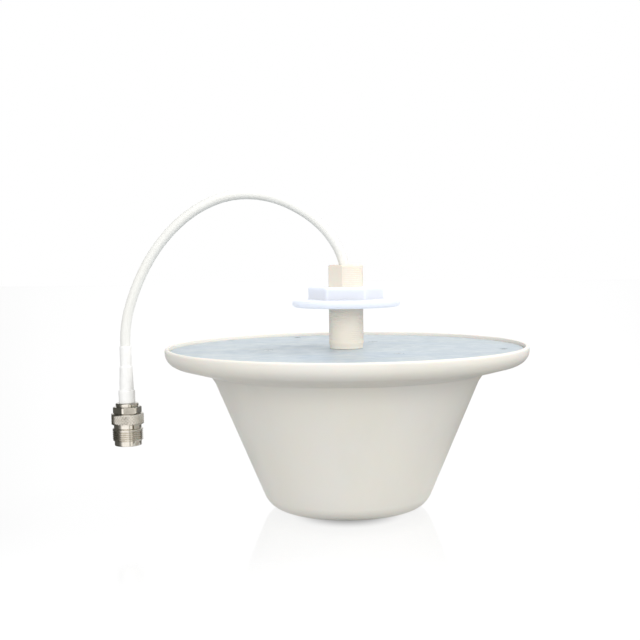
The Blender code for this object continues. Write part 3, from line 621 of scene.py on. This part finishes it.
def screw_section(head, length):
    """Countersunk head, fine thread and blunt tip, from the head's face down."""
    section = [(0, 0.02), (head - 0.35, 0), (head - 0.08, 0.07), (head, 0.2)]
    section += [(SCREW_SHANK + 0.1, SCREW_HEAD_DEPTH), (SCREW_SHANK, SCREW_HEAD_DEPTH + 0.2)]
    for i in range(int((length - SCREW_PLAIN_LENGTH) / SCREW_THREAD_STEP)):
        groove = SCREW_THREAD_DEPTH * (i % 2)
        section.append((SCREW_SHANK - groove, SCREW_THREAD_START + SCREW_THREAD_STEP * i))
    return section + [(SCREW_SHANK * 0.8, length - 1.0), (0.15, length), (0, length)]


def make_screws(finishes):
    """Countersunk screws with a cross recess: dark ones in the rim, plated ones in the standoffs."""
    for name, centre, head in screw_kinds():
        low, high = corners(name)
        slot = "black_steel" if name.startswith("cover") else "steel"
        material = finishes[slot]
        axis = Axis((centre.x, centre.y, high.z), (0, 0, -1), (1, 0, 0))
        section = screw_section(head, high.z - low.z)
        screw = turned(f"{name}_body", section, material, axis, sides=40, sharp_deg=25)
        cutters = []
        arm_size = (head * 1.15, RECESS_WIDTH, 2 * RECESS_DEPTH)
        for turn_deg in (20, 110):
            arm = block(f"{name}_arm_{turn_deg}", arm_size, (0, 0, 0), turn_deg, material)
            arm.location = Vector((centre.x, centre.y, high.z)) * MM
            cutters.append(arm)
        heart = [(0, -0.5), (0.75, -0.5), (0.3, 1.05), (0, 1.05)]
        cutters.append(turned(f"{name}_heart", heart, material, axis, sides=24))
        cut(screw, *cutters)
        attach(screw, "antenna", slot, name)


# ---- stud

def thread_wave(phase):
    """Height of a rounded thread, 0 at its root and 1 at its crest, at a phase of one pitch."""
    return 0.5 - 0.5 * math.cos(FULL_TURN * phase) if phase % 1 else 0.0


def fade(value, start, end):
    share = min(max((value - start) / (end - start), 0.0), 1.0)
    return share * share * (3 - 2 * share)


def stud_surface(height):
    """Radius by angle of the threaded stretch, its thread shallower above the nut."""
    low, high = PLATE_TOP + 3.2, STUD_TOP - 0.9
    depth = STUD_THREAD_DEPTH * (1 - 0.5 * fade(height, FLANGE_HIGH.z, HEX_HIGH.z))
    depth *= fade(height, low, low + 1.5) * fade(-height, -high, 1 - high)

    def radius(angle):
        wave = thread_wave((height / STUD_PITCH - angle / FULL_TURN) % 1.0)
        return STUD_RADIUS - depth * (1 - wave)

    return radius


def make_stud(finishes):
    """Hollow stud: a tail below the plate, a slimmer foot, the thread, and two wrench flats."""
    sides = 120
    foot, foot_base = STUD_RADIUS - 0.35, PLATE_TOP + 0.02
    section = [(STUD_TAIL - 0.6, STUD_LOW.z), (STUD_TAIL, STUD_LOW.z + 0.6), (STUD_TAIL, foot_base)]
    section += [(foot - 0.3, foot_base), (foot, PLATE_TOP + 0.3), (foot, PLATE_TOP + 2.0)]
    section += [(STUD_RADIUS, PLATE_TOP + 2.7)]
    rings = UPRIGHT.rings(section, sides)
    threaded = spaced(PLATE_TOP + 3.2, STUD_TOP - 0.9, STUD_PITCH / 8)
    rings += [UPRIGHT.ring(z, stud_surface(z), sides) for z in threaded]
    mouth = arc((STUD_RADIUS - 0.8, STUD_TOP - 0.8), 0.8, 0, 90, 5)
    mouth += arc((STUD_BORE + 0.6, STUD_TOP - 0.6), 0.6, 90, 180, 4)
    cable_bore = CABLE_RADIUS + 0.3
    mouth += [(STUD_BORE, STUD_BORE_END), (cable_bore, STUD_BORE_END - 3.0), (cable_bore, STUD_LOW.z)]
    rings += UPRIGHT.rings(mouth, sides)
    material = finishes["stud_abs"]
    stud = rings_piece("threaded_stud_skin", rings, material, loop=True, sharp_deg=40)
    depth = 6.0
    centre = (WRENCH_FLAT_OFFSET + depth / 2, 0, STUD_TOP)
    size = (depth, 3 * STUD_RADIUS, 2 * WRENCH_FLAT_LENGTH)
    turns_deg = (WRENCH_FLAT_DEG, WRENCH_FLAT_DEG - 180)
    cut(stud, *[block(f"flat_{turn:.0f}", size, centre, turn, material) for turn in turns_deg])
    attach(stud, "antenna", "stud_abs", "threaded_stud")


# ---- flange nut

def nut_hexagon(sides):
    """Rings of the hexagon: a curved foot on the flange, straight sides, a softened top edge."""
    rings = []
    for i in range(5):
        angle = math.pi / 2 * i / 4
        grow, rise = NUT_FOOT * (1 - math.sin(angle)), NUT_FOOT * (1 - math.cos(angle))
        outline = hexagon(NUT_FLAT_REACH, NUT_CORNER, grow)
        rings.append(UPRIGHT.ring(FLANGE_HIGH.z + rise, outline, sides))
    for i in range(7):
        angle = math.pi / 2 * i / 6
        grow, drop = -NUT_SOFT_EDGE * (1 - math.cos(angle)), NUT_SOFT_EDGE * (1 - math.sin(angle))
        outline = hexagon(NUT_FLAT_REACH, NUT_CORNER, grow)
        rings.append(UPRIGHT.ring(HEX_HIGH.z - drop, outline, sides))
    return rings


def nut_bore_surface(height):
    """Radius by angle of the bore, with a thread that fades out at both ends."""
    bottom, top = FLANGE_LOW.z, HEX_HIGH.z
    depth = NUT_THREAD_DEPTH * fade(-height, 0.9 - top, 1.2 - top)
    depth *= fade(height, bottom + 0.7, bottom + 1.6)

    def radius(angle):
        return NUT_BORE + depth * thread_wave((height / STUD_PITCH - angle / FULL_TURN) % 1.0)

    return radius


def make_nut(finishes):
    """One moulding: a round flange below a hexagon with softened edges, a threaded bore through both."""
    sides = 216
    bottom, flange_top, top = FLANGE_LOW.z, FLANGE_HIGH.z, HEX_HIGH.z
    rim = FLANGE_HIGH.x - NUT_LIP
    section = [(r, bottom) for r in (NUT_BORE + 0.7, 14, 20)]
    section += arc((rim, bottom + NUT_LIP), NUT_LIP, -90, 0, 6)
    section += arc((rim, flange_top - NUT_LIP), NUT_LIP, 0, 90, 6)
    rings = UPRIGHT.rings(section, sides) + nut_hexagon(sides)
    rings += [UPRIGHT.ring(top, r, sides) for r in (13.6, NUT_BORE + 1.0)]
    inside = spaced(top - 0.7, bottom + 0.6, STUD_PITCH / 6)
    rings += [UPRIGHT.ring(z, nut_bore_surface(z), sides) for z in inside]
    nut = rings_piece("flange_nut", rings, finishes["nut_nylon"], loop=True, sharp_deg=50)
    attach(nut, "nut_hex", "nut_nylon", "nut_flange", "nut_hex")


# ---- pigtail

def heading(angle):
    """Direction in the XZ plane at an angle from +Z towards -X."""
    return Vector((-math.sin(angle), 0.0, math.cos(angle)))


class Pigtail:
    """Centre line of the cable: an arc between each pair of pivots, then the straight end."""

    def __init__(self, joints):
        places = {joint["name"]: Vector(joint["pos_m"]) / MM for joint in joints if "pos_m" in joint}
        self.pivots = [places["cable_swing"]]
        self.pivots += [places[name] for name in sorted(places) if name.startswith("cable_bend")]
        self.arcs, angle, distance = [], 0.0, 0.0
        for start, end in zip(self.pivots, self.pivots[1:]):
            chord = end - start
            turn = 2 * (math.atan2(-chord.x, chord.z) % FULL_TURN - angle)
            length = chord.length * (turn / 2) / math.sin(turn / 2)
            self.arcs.append((distance, start, angle, turn, length))
            angle += turn
            distance += length
        self.end_distance, self.end_angle = distance, angle

    def at(self, distance):
        """Point and heading at a distance along the centre line."""
        if distance >= self.end_distance:
            past = heading(self.end_angle)
            return self.pivots[-1] + past * (distance - self.end_distance), past
        start_distance, start, angle, turn, length = [a for a in self.arcs if a[0] <= max(distance, 0)][-1]
        part = turn * (distance - start_distance) / length
        chord = 2 * length / turn * math.sin(part / 2)
        return start + heading(angle + part / 2) * chord, heading(angle + part)

    def middle(self, i):
        return self.arcs[i][0] + self.arcs[i][4] / 2

    def tube(self, name, start, end, radius, material, sides=CABLE_SIDES):
        """Round tube along the centre line; radius may be a function of the distance."""
        rings = []
        for distance in spaced(start, end, RING_STEP):
            centre, along = self.at(distance)
            size = radius(distance) if callable(radius) else radius
            rings.append(Axis(centre, along, (0, 1, 0)).ring(0, size, sides))
        return rings_piece(name, rings, material)

    def end_axis(self):
        """Axis of the cable's end; angle 0 faces -Y and a quarter turn on faces -X."""
        return Axis(self.pivots[-1], heading(self.end_angle), (0, -1, 0))


def make_cable(finishes, pigtail):
    """One length of jacket across each pivot, from the middle of one link to the middle of the next."""
    count = len(pigtail.arcs)
    for i in range(count):
        last_one = i + 1 == count
        link_start = pigtail.middle(i)
        first = -CABLE_SINK if i == 0 else link_start
        last = pigtail.end_distance + CABLE_OVERLAP if last_one else pigtail.middle(i + 1)
        piece = pigtail.tube(f"cable_jacket_{i + 1:02d}", first, last, CABLE_RADIUS, finishes["cable_pvc"])
        bend_start = link_start + BEND_INSET
        bend_end = pigtail.end_distance + BEND_INSET if last_one else last - BEND_INSET
        this_body = f"cable_link_{i + 1:02d}"
        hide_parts(this_body)
        pigtail.at(bend_start)[0] * MM
        pigtail.at(bend_end)[0] * MM
        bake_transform(piece)


# ---- cable end

def along_end(axis, node):
    """First and last distance of a cable-end node along the end's axis, in millimetres."""
    vertices = frame["nodes"][node].data.vertices
    distances = [(v.co / MM - axis.origin).dot(axis.along) for v in vertices]
    return min(distances), max(distances)


def node_radius(axis, node):
    """Largest distance of a cable-end node from the end's axis, in millimetres."""
    vertices = frame["nodes"][node].data.vertices
    return max(((v.co / MM - axis.origin).cross(axis.along)).length for v in vertices)


def shrunk(name, axis, section, material, lump_length, lump_depth, seed):
    """Heat-shrink sleeve: a turned section with slight lumps where it gripped what is below."""
    sides = 64
    rings = []
    for radius, distance, lumpy in section:
        def size(angle, radius=radius, distance=distance, lumpy=lumpy):
            spot = Vector((math.cos(angle) * 1.3, math.sin(angle) * 1.3, distance / lump_length + seed))
            return radius + lump_depth * lumpy * noise.noise(spot)
        rings.append(axis.ring(distance, size, sides))
    return rings_piece(name, rings, material, loop=True, sharp_deg=60)


def long_sleeve_section(axis):
    """(radius, distance, lumpiness) points: slim on the cable, a rise at the ferrule, wide over it."""
    first, last = along_end(axis, "shrink_sleeve_long")
    ferrule = along_end(axis, "crimp_ferrule")[0]
    step = along_end(axis, "shrink_sleeve_short")[0]
    inner = CABLE_RADIUS + 0.08
    slim = CABLE_RADIUS + 0.42
    wide = node_radius(axis, "shrink_sleeve_long")
    rise, first_rise = wide - slim, 0.55
    section = [(inner, first, 0), (slim - 0.18, first, 0), (slim - 0.04, first + 0.12, 0.3)]
    section += [(slim, first + 0.4, 0.7)]
    section += [(slim, d, 1) for d in spaced(first + 1.2, ferrule - 1.0, 0.7)]
    for d in spaced(ferrule - 0.6, ferrule + 0.6, 0.2):
        section.append((slim + first_rise * rise * fade(d, ferrule - 0.6, ferrule + 0.6), d, 1))
    for d in spaced(ferrule + 1.2, step - 0.3, 0.7):
        share = first_rise + (1 - first_rise) * fade(d, ferrule + 0.6, step)
        section.append((slim + rise * share, d, 1))
    section += [(wide, step, 0.5), (wide, last, 0)]
    return section + [(FERRULE_SPACE, last, 0), (FERRULE_SPACE, ferrule - 0.2, 0), (inner, ferrule - 0.5, 0)]


def short_sleeve_section(axis):
    first, last = along_end(axis, "shrink_sleeve_short")
    inner = node_radius(axis, "shrink_sleeve_long") + 0.06
    outer = node_radius(axis, "shrink_sleeve_short")
    section = [(inner, first, 0), (outer - 0.22, first, 0), (outer - 0.06, first + 0.1, 0.4)]
    section += [(outer - 0.02, first + 0.35, 1)]
    section += [(outer, d, 1) for d in spaced(first + 0.9, last - 0.5, 0.7)]
    return section + [(outer - 0.03, last, 0.3), (inner, last, 0)]


def make_sleeves(finishes, axis):
    material = finishes["shrink_tube"]
    long_section, short_section = long_sleeve_section(axis), short_sleeve_section(axis)
    long_sleeve = shrunk("shrink_sleeve_long_skin", axis, long_section, material,
                         lump_length=2.6, lump_depth=0.07, seed=3.0)
    attach(long_sleeve, "cable_end", "shrink_tube", "shrink_sleeve_long")
    short_sleeve = shrunk("shrink_sleeve_short_skin", axis, short_section, material,
                          lump_length=2.2, lump_depth=0.08, seed=11.0)
    attach(short_sleeve, "cable_end", "shrink_tube", "shrink_sleeve_short")


def make_clamp_nut(finishes, axis):
    """Hexagon whose corners are turned down at both ends."""
    first, last = along_end(axis, "jack_clamp_nut")
    reach = node_radius(axis, "jack_clamp_nut") * math.cos(math.pi / 6)
    sides = 180
    outline = hexagon(reach, CLAMP_CORNER)

    def turned_down(limit):
        def radius(angle):
            return min(outline(angle - math.radians(CLAMP_TURN_DEG)), limit)
        return radius

    widest, face = reach / math.cos(math.pi / 6), reach - 0.9
    ends = [(widest - CLAMP_CHAMFER, 0.0), (widest - CLAMP_CHAMFER * 0.45, 0.22), (widest, 0.5)]
    rings = axis.rings([(JACK_BACK_BORE, first), (face, first)], sides)
    rings += [axis.ring(first + d, turned_down(r), sides) for r, d in ends]
    rings += [axis.ring(last - d, turned_down(r), sides) for r, d in reversed(ends)]
    rings += axis.rings([(face, last), (JACK_BACK_BORE, last)], sides)
    nut = rings_piece("jack_clamp_nut_skin", rings, finishes["nickel"], loop=True, sharp_deg=22)
    attach(nut, "cable_end", "nickel", "jack_clamp_nut")


def make_rear_bush(finishes, axis):
    first, last = along_end(axis, "jack_rear_bush")
    outer = node_radius(axis, "jack_rear_bush")
    edge, groove = 0.6, 0.25
    section = [(JACK_BACK_BORE, first), (outer - 0.9, first)]
    section += arc((outer - edge, first + edge), edge, -90, 0, 5)
    section += [(outer, last - 0.5), (outer - groove, last - 0.35), (outer - groove, last)]
    section += [(JACK_BACK_BORE, last)]
    bush = turned("jack_rear_bush_skin", section, finishes["nickel"], axis, sides=96)
    attach(bush, "cable_end", "nickel", "jack_rear_bush")


def make_jack(finishes, axis):
    """Knurled ring, neck, screw thread and lip in one turned body with a stepped bore."""
    first, last = along_end(axis, "jack_body")
    knurl_radius = node_radius(axis, "jack_body")
    knurl_end, neck_end, thread_end = first + 5.6, last - 8.7, last - 2.5
    samples = 8
    sides = KNURL_TEETH * samples

    def knurled(distance):
        depth = KNURL_DEPTH * fade(distance, first + 0.35, first + 0.75)
        depth *= fade(-distance, 0.35 - knurl_end, 0.75 - knurl_end)

        def radius(angle):
            turn = KNURL_TEETH * angle / FULL_TURN
            grooves = [abs(((turn + way * distance / KNURL_LENGTH) % 1.0) - 0.5) * 2 for way in (-1, 1)]
            return knurl_radius - 0.05 - depth * (1 - min(1.0, 1.35 * min(grooves)))

        return radius

    def threaded(distance):
        depth = JACK_THREAD_DEPTH * fade(distance, neck_end + 0.1, neck_end + 1.0)
        ending = fade(-distance, 0.05 - thread_end, 0.5 - thread_end)

        def radius(angle):
            phase = (distance / JACK_PITCH + angle / FULL_TURN) % 1.0
            height = min(1.0, 1.25 * (1 - abs(2 * phase - 1)))
            return JACK_THREAD_RADIUS - depth * (1 - height * ending)

        return radius

    edge = 0.4
    shoulder = knurl_radius - edge
    back = [(JACK_BACK_HOLE, first), (6.0, first)] + arc((shoulder, first + edge), edge, -90, -20, 3)
    neck = arc((shoulder, knurl_end - edge), edge, 20, 90, 3)
    neck += [(JACK_NECK_RADIUS + 0.15, knurl_end), (JACK_NECK_RADIUS, knurl_end + 0.15)]
    neck += [(JACK_NECK_RADIUS, neck_end - 0.5)]
    lip = [(JACK_LIP_RADIUS, thread_end + 0.1)] + arc((JACK_LIP_RADIUS - edge, last - edge), edge, 0, 90, 4)
    inside = arc((JACK_BORE + edge, last - edge), edge, 90, 180, 3)
    inside += [(JACK_BORE, first + 0.6), (JACK_BACK_HOLE, first + 0.2)]
    rings = axis.rings(back, sides)
    rings += [axis.ring(d, knurled(d), sides) for d in spaced(first + edge, knurl_end - edge, 0.19)]
    rings += axis.rings(neck, sides)
    rings += [axis.ring(d, threaded(d), sides) for d in spaced(neck_end, thread_end, JACK_PITCH / 9)]
    rings += axis.rings(lip + inside, sides)
    body = rings_piece("jack_body_skin", rings, finishes["nickel"], loop=True, sharp_deg=24)
    attach(body, "cable_end", "nickel", "jack_body")


def make_insulator(finishes, axis):
    first, last = along_end(axis, "jack_insulator")
    outer, hole, floor = node_radius(axis, "jack_insulator"), 1.6, last - 0.4
    section = [(hole, first), (outer - 0.2, first), (outer, first + 0.2), (outer, last - 0.3)]
    section += [(outer - 0.3, last), (2.6, last), (2.4, floor), (hole, floor)]
    insulator = turned("jack_insulator_skin", section, finishes["ptfe"], axis, sides=64)
    attach(insulator, "cable_end", "ptfe", "jack_insulator")


def make_contact(finishes, axis):
    """Centre contact: a rounded tip, a socket and two cross slots that leave four fingers."""
    first, last = along_end(axis, "jack_contact")
    radius, socket, fingers = node_radius(axis, "jack_contact"), 0.85, 4.2
    section = [(0, first), (radius, first), (radius, last - 0.8), (radius - 0.12, last - 0.4)]
    section += arc((radius - 0.32, last - 0.2), 0.2, 0, 90, 3)
    section += [(socket + 0.1, last), (socket, last - 0.15), (socket, last - fingers)]
    section += [(0, last - fingers - 0.4)]
    material = finishes["brass"]
    contact = turned("jack_contact_skin", section, material, axis, sides=48)
    slots = []
    slot_size = (4.0, 0.32, 2 * fingers - 0.6)
    for turn_deg in (0, 90):
        slot = block(f"contact_slot_{turn_deg}", slot_size, (0, 0, 0), turn_deg, material)
        slot.location = axis.at(last, 0) * MM
        slots.append(slot)
    cut(contact, *slots)
    attach(contact, "cable_end", "brass", "jack_contact")


def make_tail(finishes, pigtail):
    """Straight end of the jacket inside the sleeves and the ferrule."""
    axis = pigtail.end_axis()
    first, last = CABLE_OVERLAP - 1.0, along_end(axis, "coax_tail")[1]
    radius = CABLE_RADIUS - 0.06
    section = [(0, first), (radius, first), (radius, last), (0, last)]
    tail = turned("coax_tail_core", section, finishes["cable_pvc"], axis, sides=CABLE_SIDES)
    attach(tail, "cable_end", "cable_pvc", "coax_tail")


# ---- carried-over CAD nodes

def refinish_nodes(finishes):
    """Gives each CAD node that still shows the full finish of its material slot."""
    slots = {part["node"]: part["material_slot"] for part in frame["record"]["subparts"]}
    for name, node in frame["nodes"].items():
        if node.hide_render:
            continue
        node.data.materials.clear()
        node.data.materials.append(finishes[slots[name]])
        node.data.shade_smooth()
        node.data.set_sharp_from_angle(angle=math.radians(35))


# ---- stage, light and camera

# The camera's place is in millimetres
CAMERA_PLACE = Vector((0.0, -572.0, 132.5))
CAMERA_LENS = 62.55
CAMERA_PITCH_DEG = 3.58
CAMERA_YAW_DEG = -1.35
CAMERA_ROLL_DEG = -0.70


def make_camera():
    data = bpy.data.cameras.new("camera")
    data.lens = CAMERA_LENS
    data.clip_start, data.clip_end = 0.01, 100.0
    camera = bpy.data.objects.new("camera", data)
    bpy.context.scene.collection.objects.link(camera)
    pitch, yaw, roll = (math.radians(a) for a in (CAMERA_PITCH_DEG, CAMERA_YAW_DEG, CAMERA_ROLL_DEG))
    forward = Vector((math.sin(yaw) * math.cos(pitch), math.cos(yaw) * math.cos(pitch), -math.sin(pitch)))
    level = Vector((math.cos(yaw), -math.sin(yaw), 0.0))
    upward = level.cross(forward)
    right = level * math.cos(roll) + upward * math.sin(roll)
    up = upward * math.cos(roll) - level * math.sin(roll)
    facing = Matrix((right, up, -forward)).transposed().to_4x4()
    camera.matrix_world = Matrix.Translation(CAMERA_PLACE * MM) @ facing
    bpy.context.scene.camera = camera


# Mirror-like surfaces see a studio of bright and dark panels: (degrees from the front towards +X, colour)
PANELS = (
    (-180, (0.77, 0.77, 0.77)),
    (-165, (0.62, 0.62, 0.62)),
    (-148, (0.04, 0.04, 0.035)),
    (-75, (0.05, 0.05, 0.04)),
    (-54, (0.20, 0.19, 0.18)),
    (-38, (1.0, 0.98, 0.96)),
    (18, (1.0, 0.98, 0.96)),
    (23, (0.42, 0.41, 0.38)),
    (29, (0.42, 0.40, 0.37)),
    (33, (1.0, 0.98, 0.94)),
    (43, (0.90, 0.87, 0.80)),
    (51, (0.08, 0.06, 0.03)),
    (90, (0.09, 0.075, 0.045)),
    (148, (0.08, 0.08, 0.075)),
    (166, (0.62, 0.62, 0.62)),
    (180, (0.77, 0.77, 0.77)),
)
PANEL_GAIN = 1.3

# How steep a direction is where the panels start to dim and where they are dimmest, and the light left
STEEP, STEEPEST, STEEP_LIGHT = 0.45, 0.80, 0.80

# Light of the surroundings on matt surfaces, brighter round one direction in front
SKY_SIDE, SKY_FRONT, SKY_FRONT_START = 1.0, 1.70, -0.2
SKY_FRONT_DIRECTION = (0.30, -0.94, 0.12)

# The floor, in metres: pool of light, patch of shade at the contact, panels, mirror image
WHITE = (1.0, 1.0, 1.0)
FLOOR_WHITE = (1.045, 1.045, 1.045)
FLOOR_MATT_SHARE = 0.05
POOL_START, POOL_END, POOL_NEAR_GLOW, POOL_FAR_GLOW = 0.06, 0.17, 0.52, 0.42
CONTACT_CENTRE = (0.0, -0.020, 0.0)
CONTACT_NEAR, CONTACT_FAR, CONTACT_SHADE = 0.010, 0.029, 0.40
PANEL_START, PANEL_FULL = 0.06, 0.12
MIRROR_START, MIRROR_FULL = -0.21, -0.03
MIRROR_SHARE, MIRROR_ROUGHNESS = 0.20, 0.12

# The floor's mesh, in millimetres: half its width, and its depth below the object
FLOOR_REACH, FLOOR_DROP = 4000.0, 0.1

# (name, place in metres, size in metres, power in watts, colour)
LAMPS = (
    ("key", (0.95, 0.25, 1.0), 0.30, 7.0, (1.0, 0.99, 0.97)),
    ("fill", (0.12, -1.3, 0.45), 0.80, 5.0, (1.0, 0.995, 0.98)),
)
LAMP_TARGET = (0.0, 0.0, 0.09)


def panels(nodes, vector):
    """Colour of the surroundings that mirror-like surfaces see, by the direction of a vector."""
    split = nodes.add("SeparateXYZ", (vector,))
    azimuth = nodes.number("ARCTAN2", split.outputs[0], nodes.number("MULTIPLY", split.outputs[1], -1.0))
    along_ramp = nodes.add("MapRange", (azimuth, -math.pi, math.pi, 0.0, 1.0))
    ramp = nodes.add("ValToRGB", (along_ramp.outputs[0],))
    elements = ramp.color_ramp.elements
    elements[0].color = (*PANELS[0][1], 1.0)
    elements[1].color = (*PANELS[-1][1], 1.0)
    for degrees, colour in PANELS[1:-1]:
        elements.new((degrees + 180) / 360).color = (*colour, 1.0)
    gain = nodes.add("VectorMath", (ramp.outputs[0],), operation="SCALE")
    nodes.feed(gain, Scale=PANEL_GAIN)
    return gain.outputs[0]


def floor_light(nodes, place):
    """What the floor shows: white to the camera, a pool of light to matt surfaces, panels to shiny ones."""
    path = nodes.add("LightPath")
    distance = nodes.add("VectorMath", (place,), operation="LENGTH").outputs["Value"]
    pool = nodes.step(distance, POOL_START, POOL_END, POOL_NEAR_GLOW, POOL_FAR_GLOW)
    matt_view = nodes.blend(path.outputs["Is Diffuse Ray"], FLOOR_WHITE, nodes.grey(pool))
    plug_low, plug_high = corners("jack_body")
    plug = (plug_low + plug_high) * (MM / 2)
    from_plug = nodes.vector("SUBTRACT", place, (plug.x, plug.y, 0.0)).outputs[0]
    panel_share = nodes.step(distance, PANEL_START, PANEL_FULL)
    shiny_view = nodes.blend(panel_share, WHITE, panels(nodes, from_plug))
    return nodes.blend(path.outputs["Is Glossy Ray"], matt_view, shiny_view)


def emptied(tree):
    tree.nodes.clear()
    return Nodes(tree)


def make_floor():
    """Pale glossy floor: mostly its own white, with a faint mirror image in front of the object."""
    material = bpy.data.materials.new("floor")
    material.use_nodes = True
    nodes = emptied(material.node_tree)
    place = nodes.add("TexCoord").outputs["Object"]
    from_contact = nodes.vector("DISTANCE", place, CONTACT_CENTRE).outputs["Value"]
    contact = nodes.step(from_contact, CONTACT_NEAR, CONTACT_FAR, CONTACT_SHADE, 1.0)
    glow = nodes.add("Emission", (floor_light(nodes, place), contact))
    matt = nodes.add("BsdfDiffuse", ((0.9, 0.9, 0.9, 1.0),))
    mirror = nodes.add("BsdfGlossy", ((*WHITE, 1.0),))
    nodes.feed(mirror, Roughness=MIRROR_ROUGHNESS)
    base = nodes.add("MixShader", (FLOOR_MATT_SHARE, glow.outputs[0], matt.outputs[0]))
    depth = nodes.add("SeparateXYZ", (place,)).outputs[1]
    share = nodes.step(depth, MIRROR_START, MIRROR_FULL, 0.0, MIRROR_SHARE)
    surface = nodes.add("MixShader", (share, base.outputs[0], mirror.outputs[0]))
    nodes.add("OutputMaterial", (surface.outputs[0],))
    corner_signs = ((-1, -1), (1, -1), (1, 1), (-1, 1))
    outline = [(x * FLOOR_REACH, y * FLOOR_REACH, -FLOOR_DROP) for x, y in corner_signs]
    new_piece("floor", outline, [(0, 1, 2, 3)], material)


def make_world():
    """White surroundings, a little brighter in front; shiny surfaces see the panels instead."""
    world = bpy.data.worlds.new("studio")
    bpy.context.scene.world = world
    world.use_nodes = True
    nodes = emptied(world.node_tree)
    path = nodes.add("LightPath")
    direction = nodes.add("TexCoord").outputs["Generated"]
    facing = nodes.vector("DOT_PRODUCT", direction, SKY_FRONT_DIRECTION).outputs["Value"]
    strength = nodes.step(facing, SKY_FRONT_START, 1.0, SKY_SIDE, SKY_FRONT)
    plain_view = nodes.blend(path.outputs["Is Diffuse Ray"], WHITE, nodes.grey(strength))
    steepness = nodes.number("ABSOLUTE", nodes.add("SeparateXYZ", (direction,)).outputs[2])
    shade = nodes.step(steepness, STEEP, STEEPEST, 0.0, 1.0 - STEEP_LIGHT)
    shiny_view = nodes.blend(shade, panels(nodes, direction), (0.0, 0.0, 0.0))
    colour = nodes.blend(path.outputs["Is Glossy Ray"], plain_view, shiny_view)
    background = nodes.add("Background", (colour, 1.0))
    nodes.add("OutputWorld", (background.outputs[0],))


def make_lamp(name, place, size, power, colour):
    data = bpy.data.lights.new(name, "AREA")
    data.shape = "DISK"
    data.size = size
    data.energy = power
    data.color = colour
    lamp = bpy.data.objects.new(name, data)
    bpy.context.scene.collection.objects.link(lamp)
    lamp.location = place
    lamp.rotation_euler = (Vector(LAMP_TARGET) - Vector(place)).to_track_quat("-Z", "Y").to_euler()
    lamp.visible_glossy = False


def make_stage():
    make_camera()
    make_floor()
    make_world()
    for lamp in LAMPS:
        make_lamp(*lamp)
    view = bpy.context.scene.view_settings
    view.view_transform = "Standard"
    view.look = "None"


# ---- all of it

def main():
    finishes = make_finishes()
    pigtail = Pigtail(frame["joints"])
    end_axis = pigtail.end_axis()
    make_dome(finishes)
    make_plate(finishes)
    make_screws(finishes)
    make_stud(finishes)
    make_nut(finishes)
    make_cable(finishes, pigtail)
    make_tail(finishes, pigtail)
    make_sleeves(finishes, end_axis)
    make_rear_bush(finishes, end_axis)
    make_clamp_nut(finishes, end_axis)
    make_jack(finishes, end_axis)
    make_insulator(finishes, end_axis)
    make_contact(finishes, end_axis)
    refinish_nodes(finishes)
    make_stage()


main()
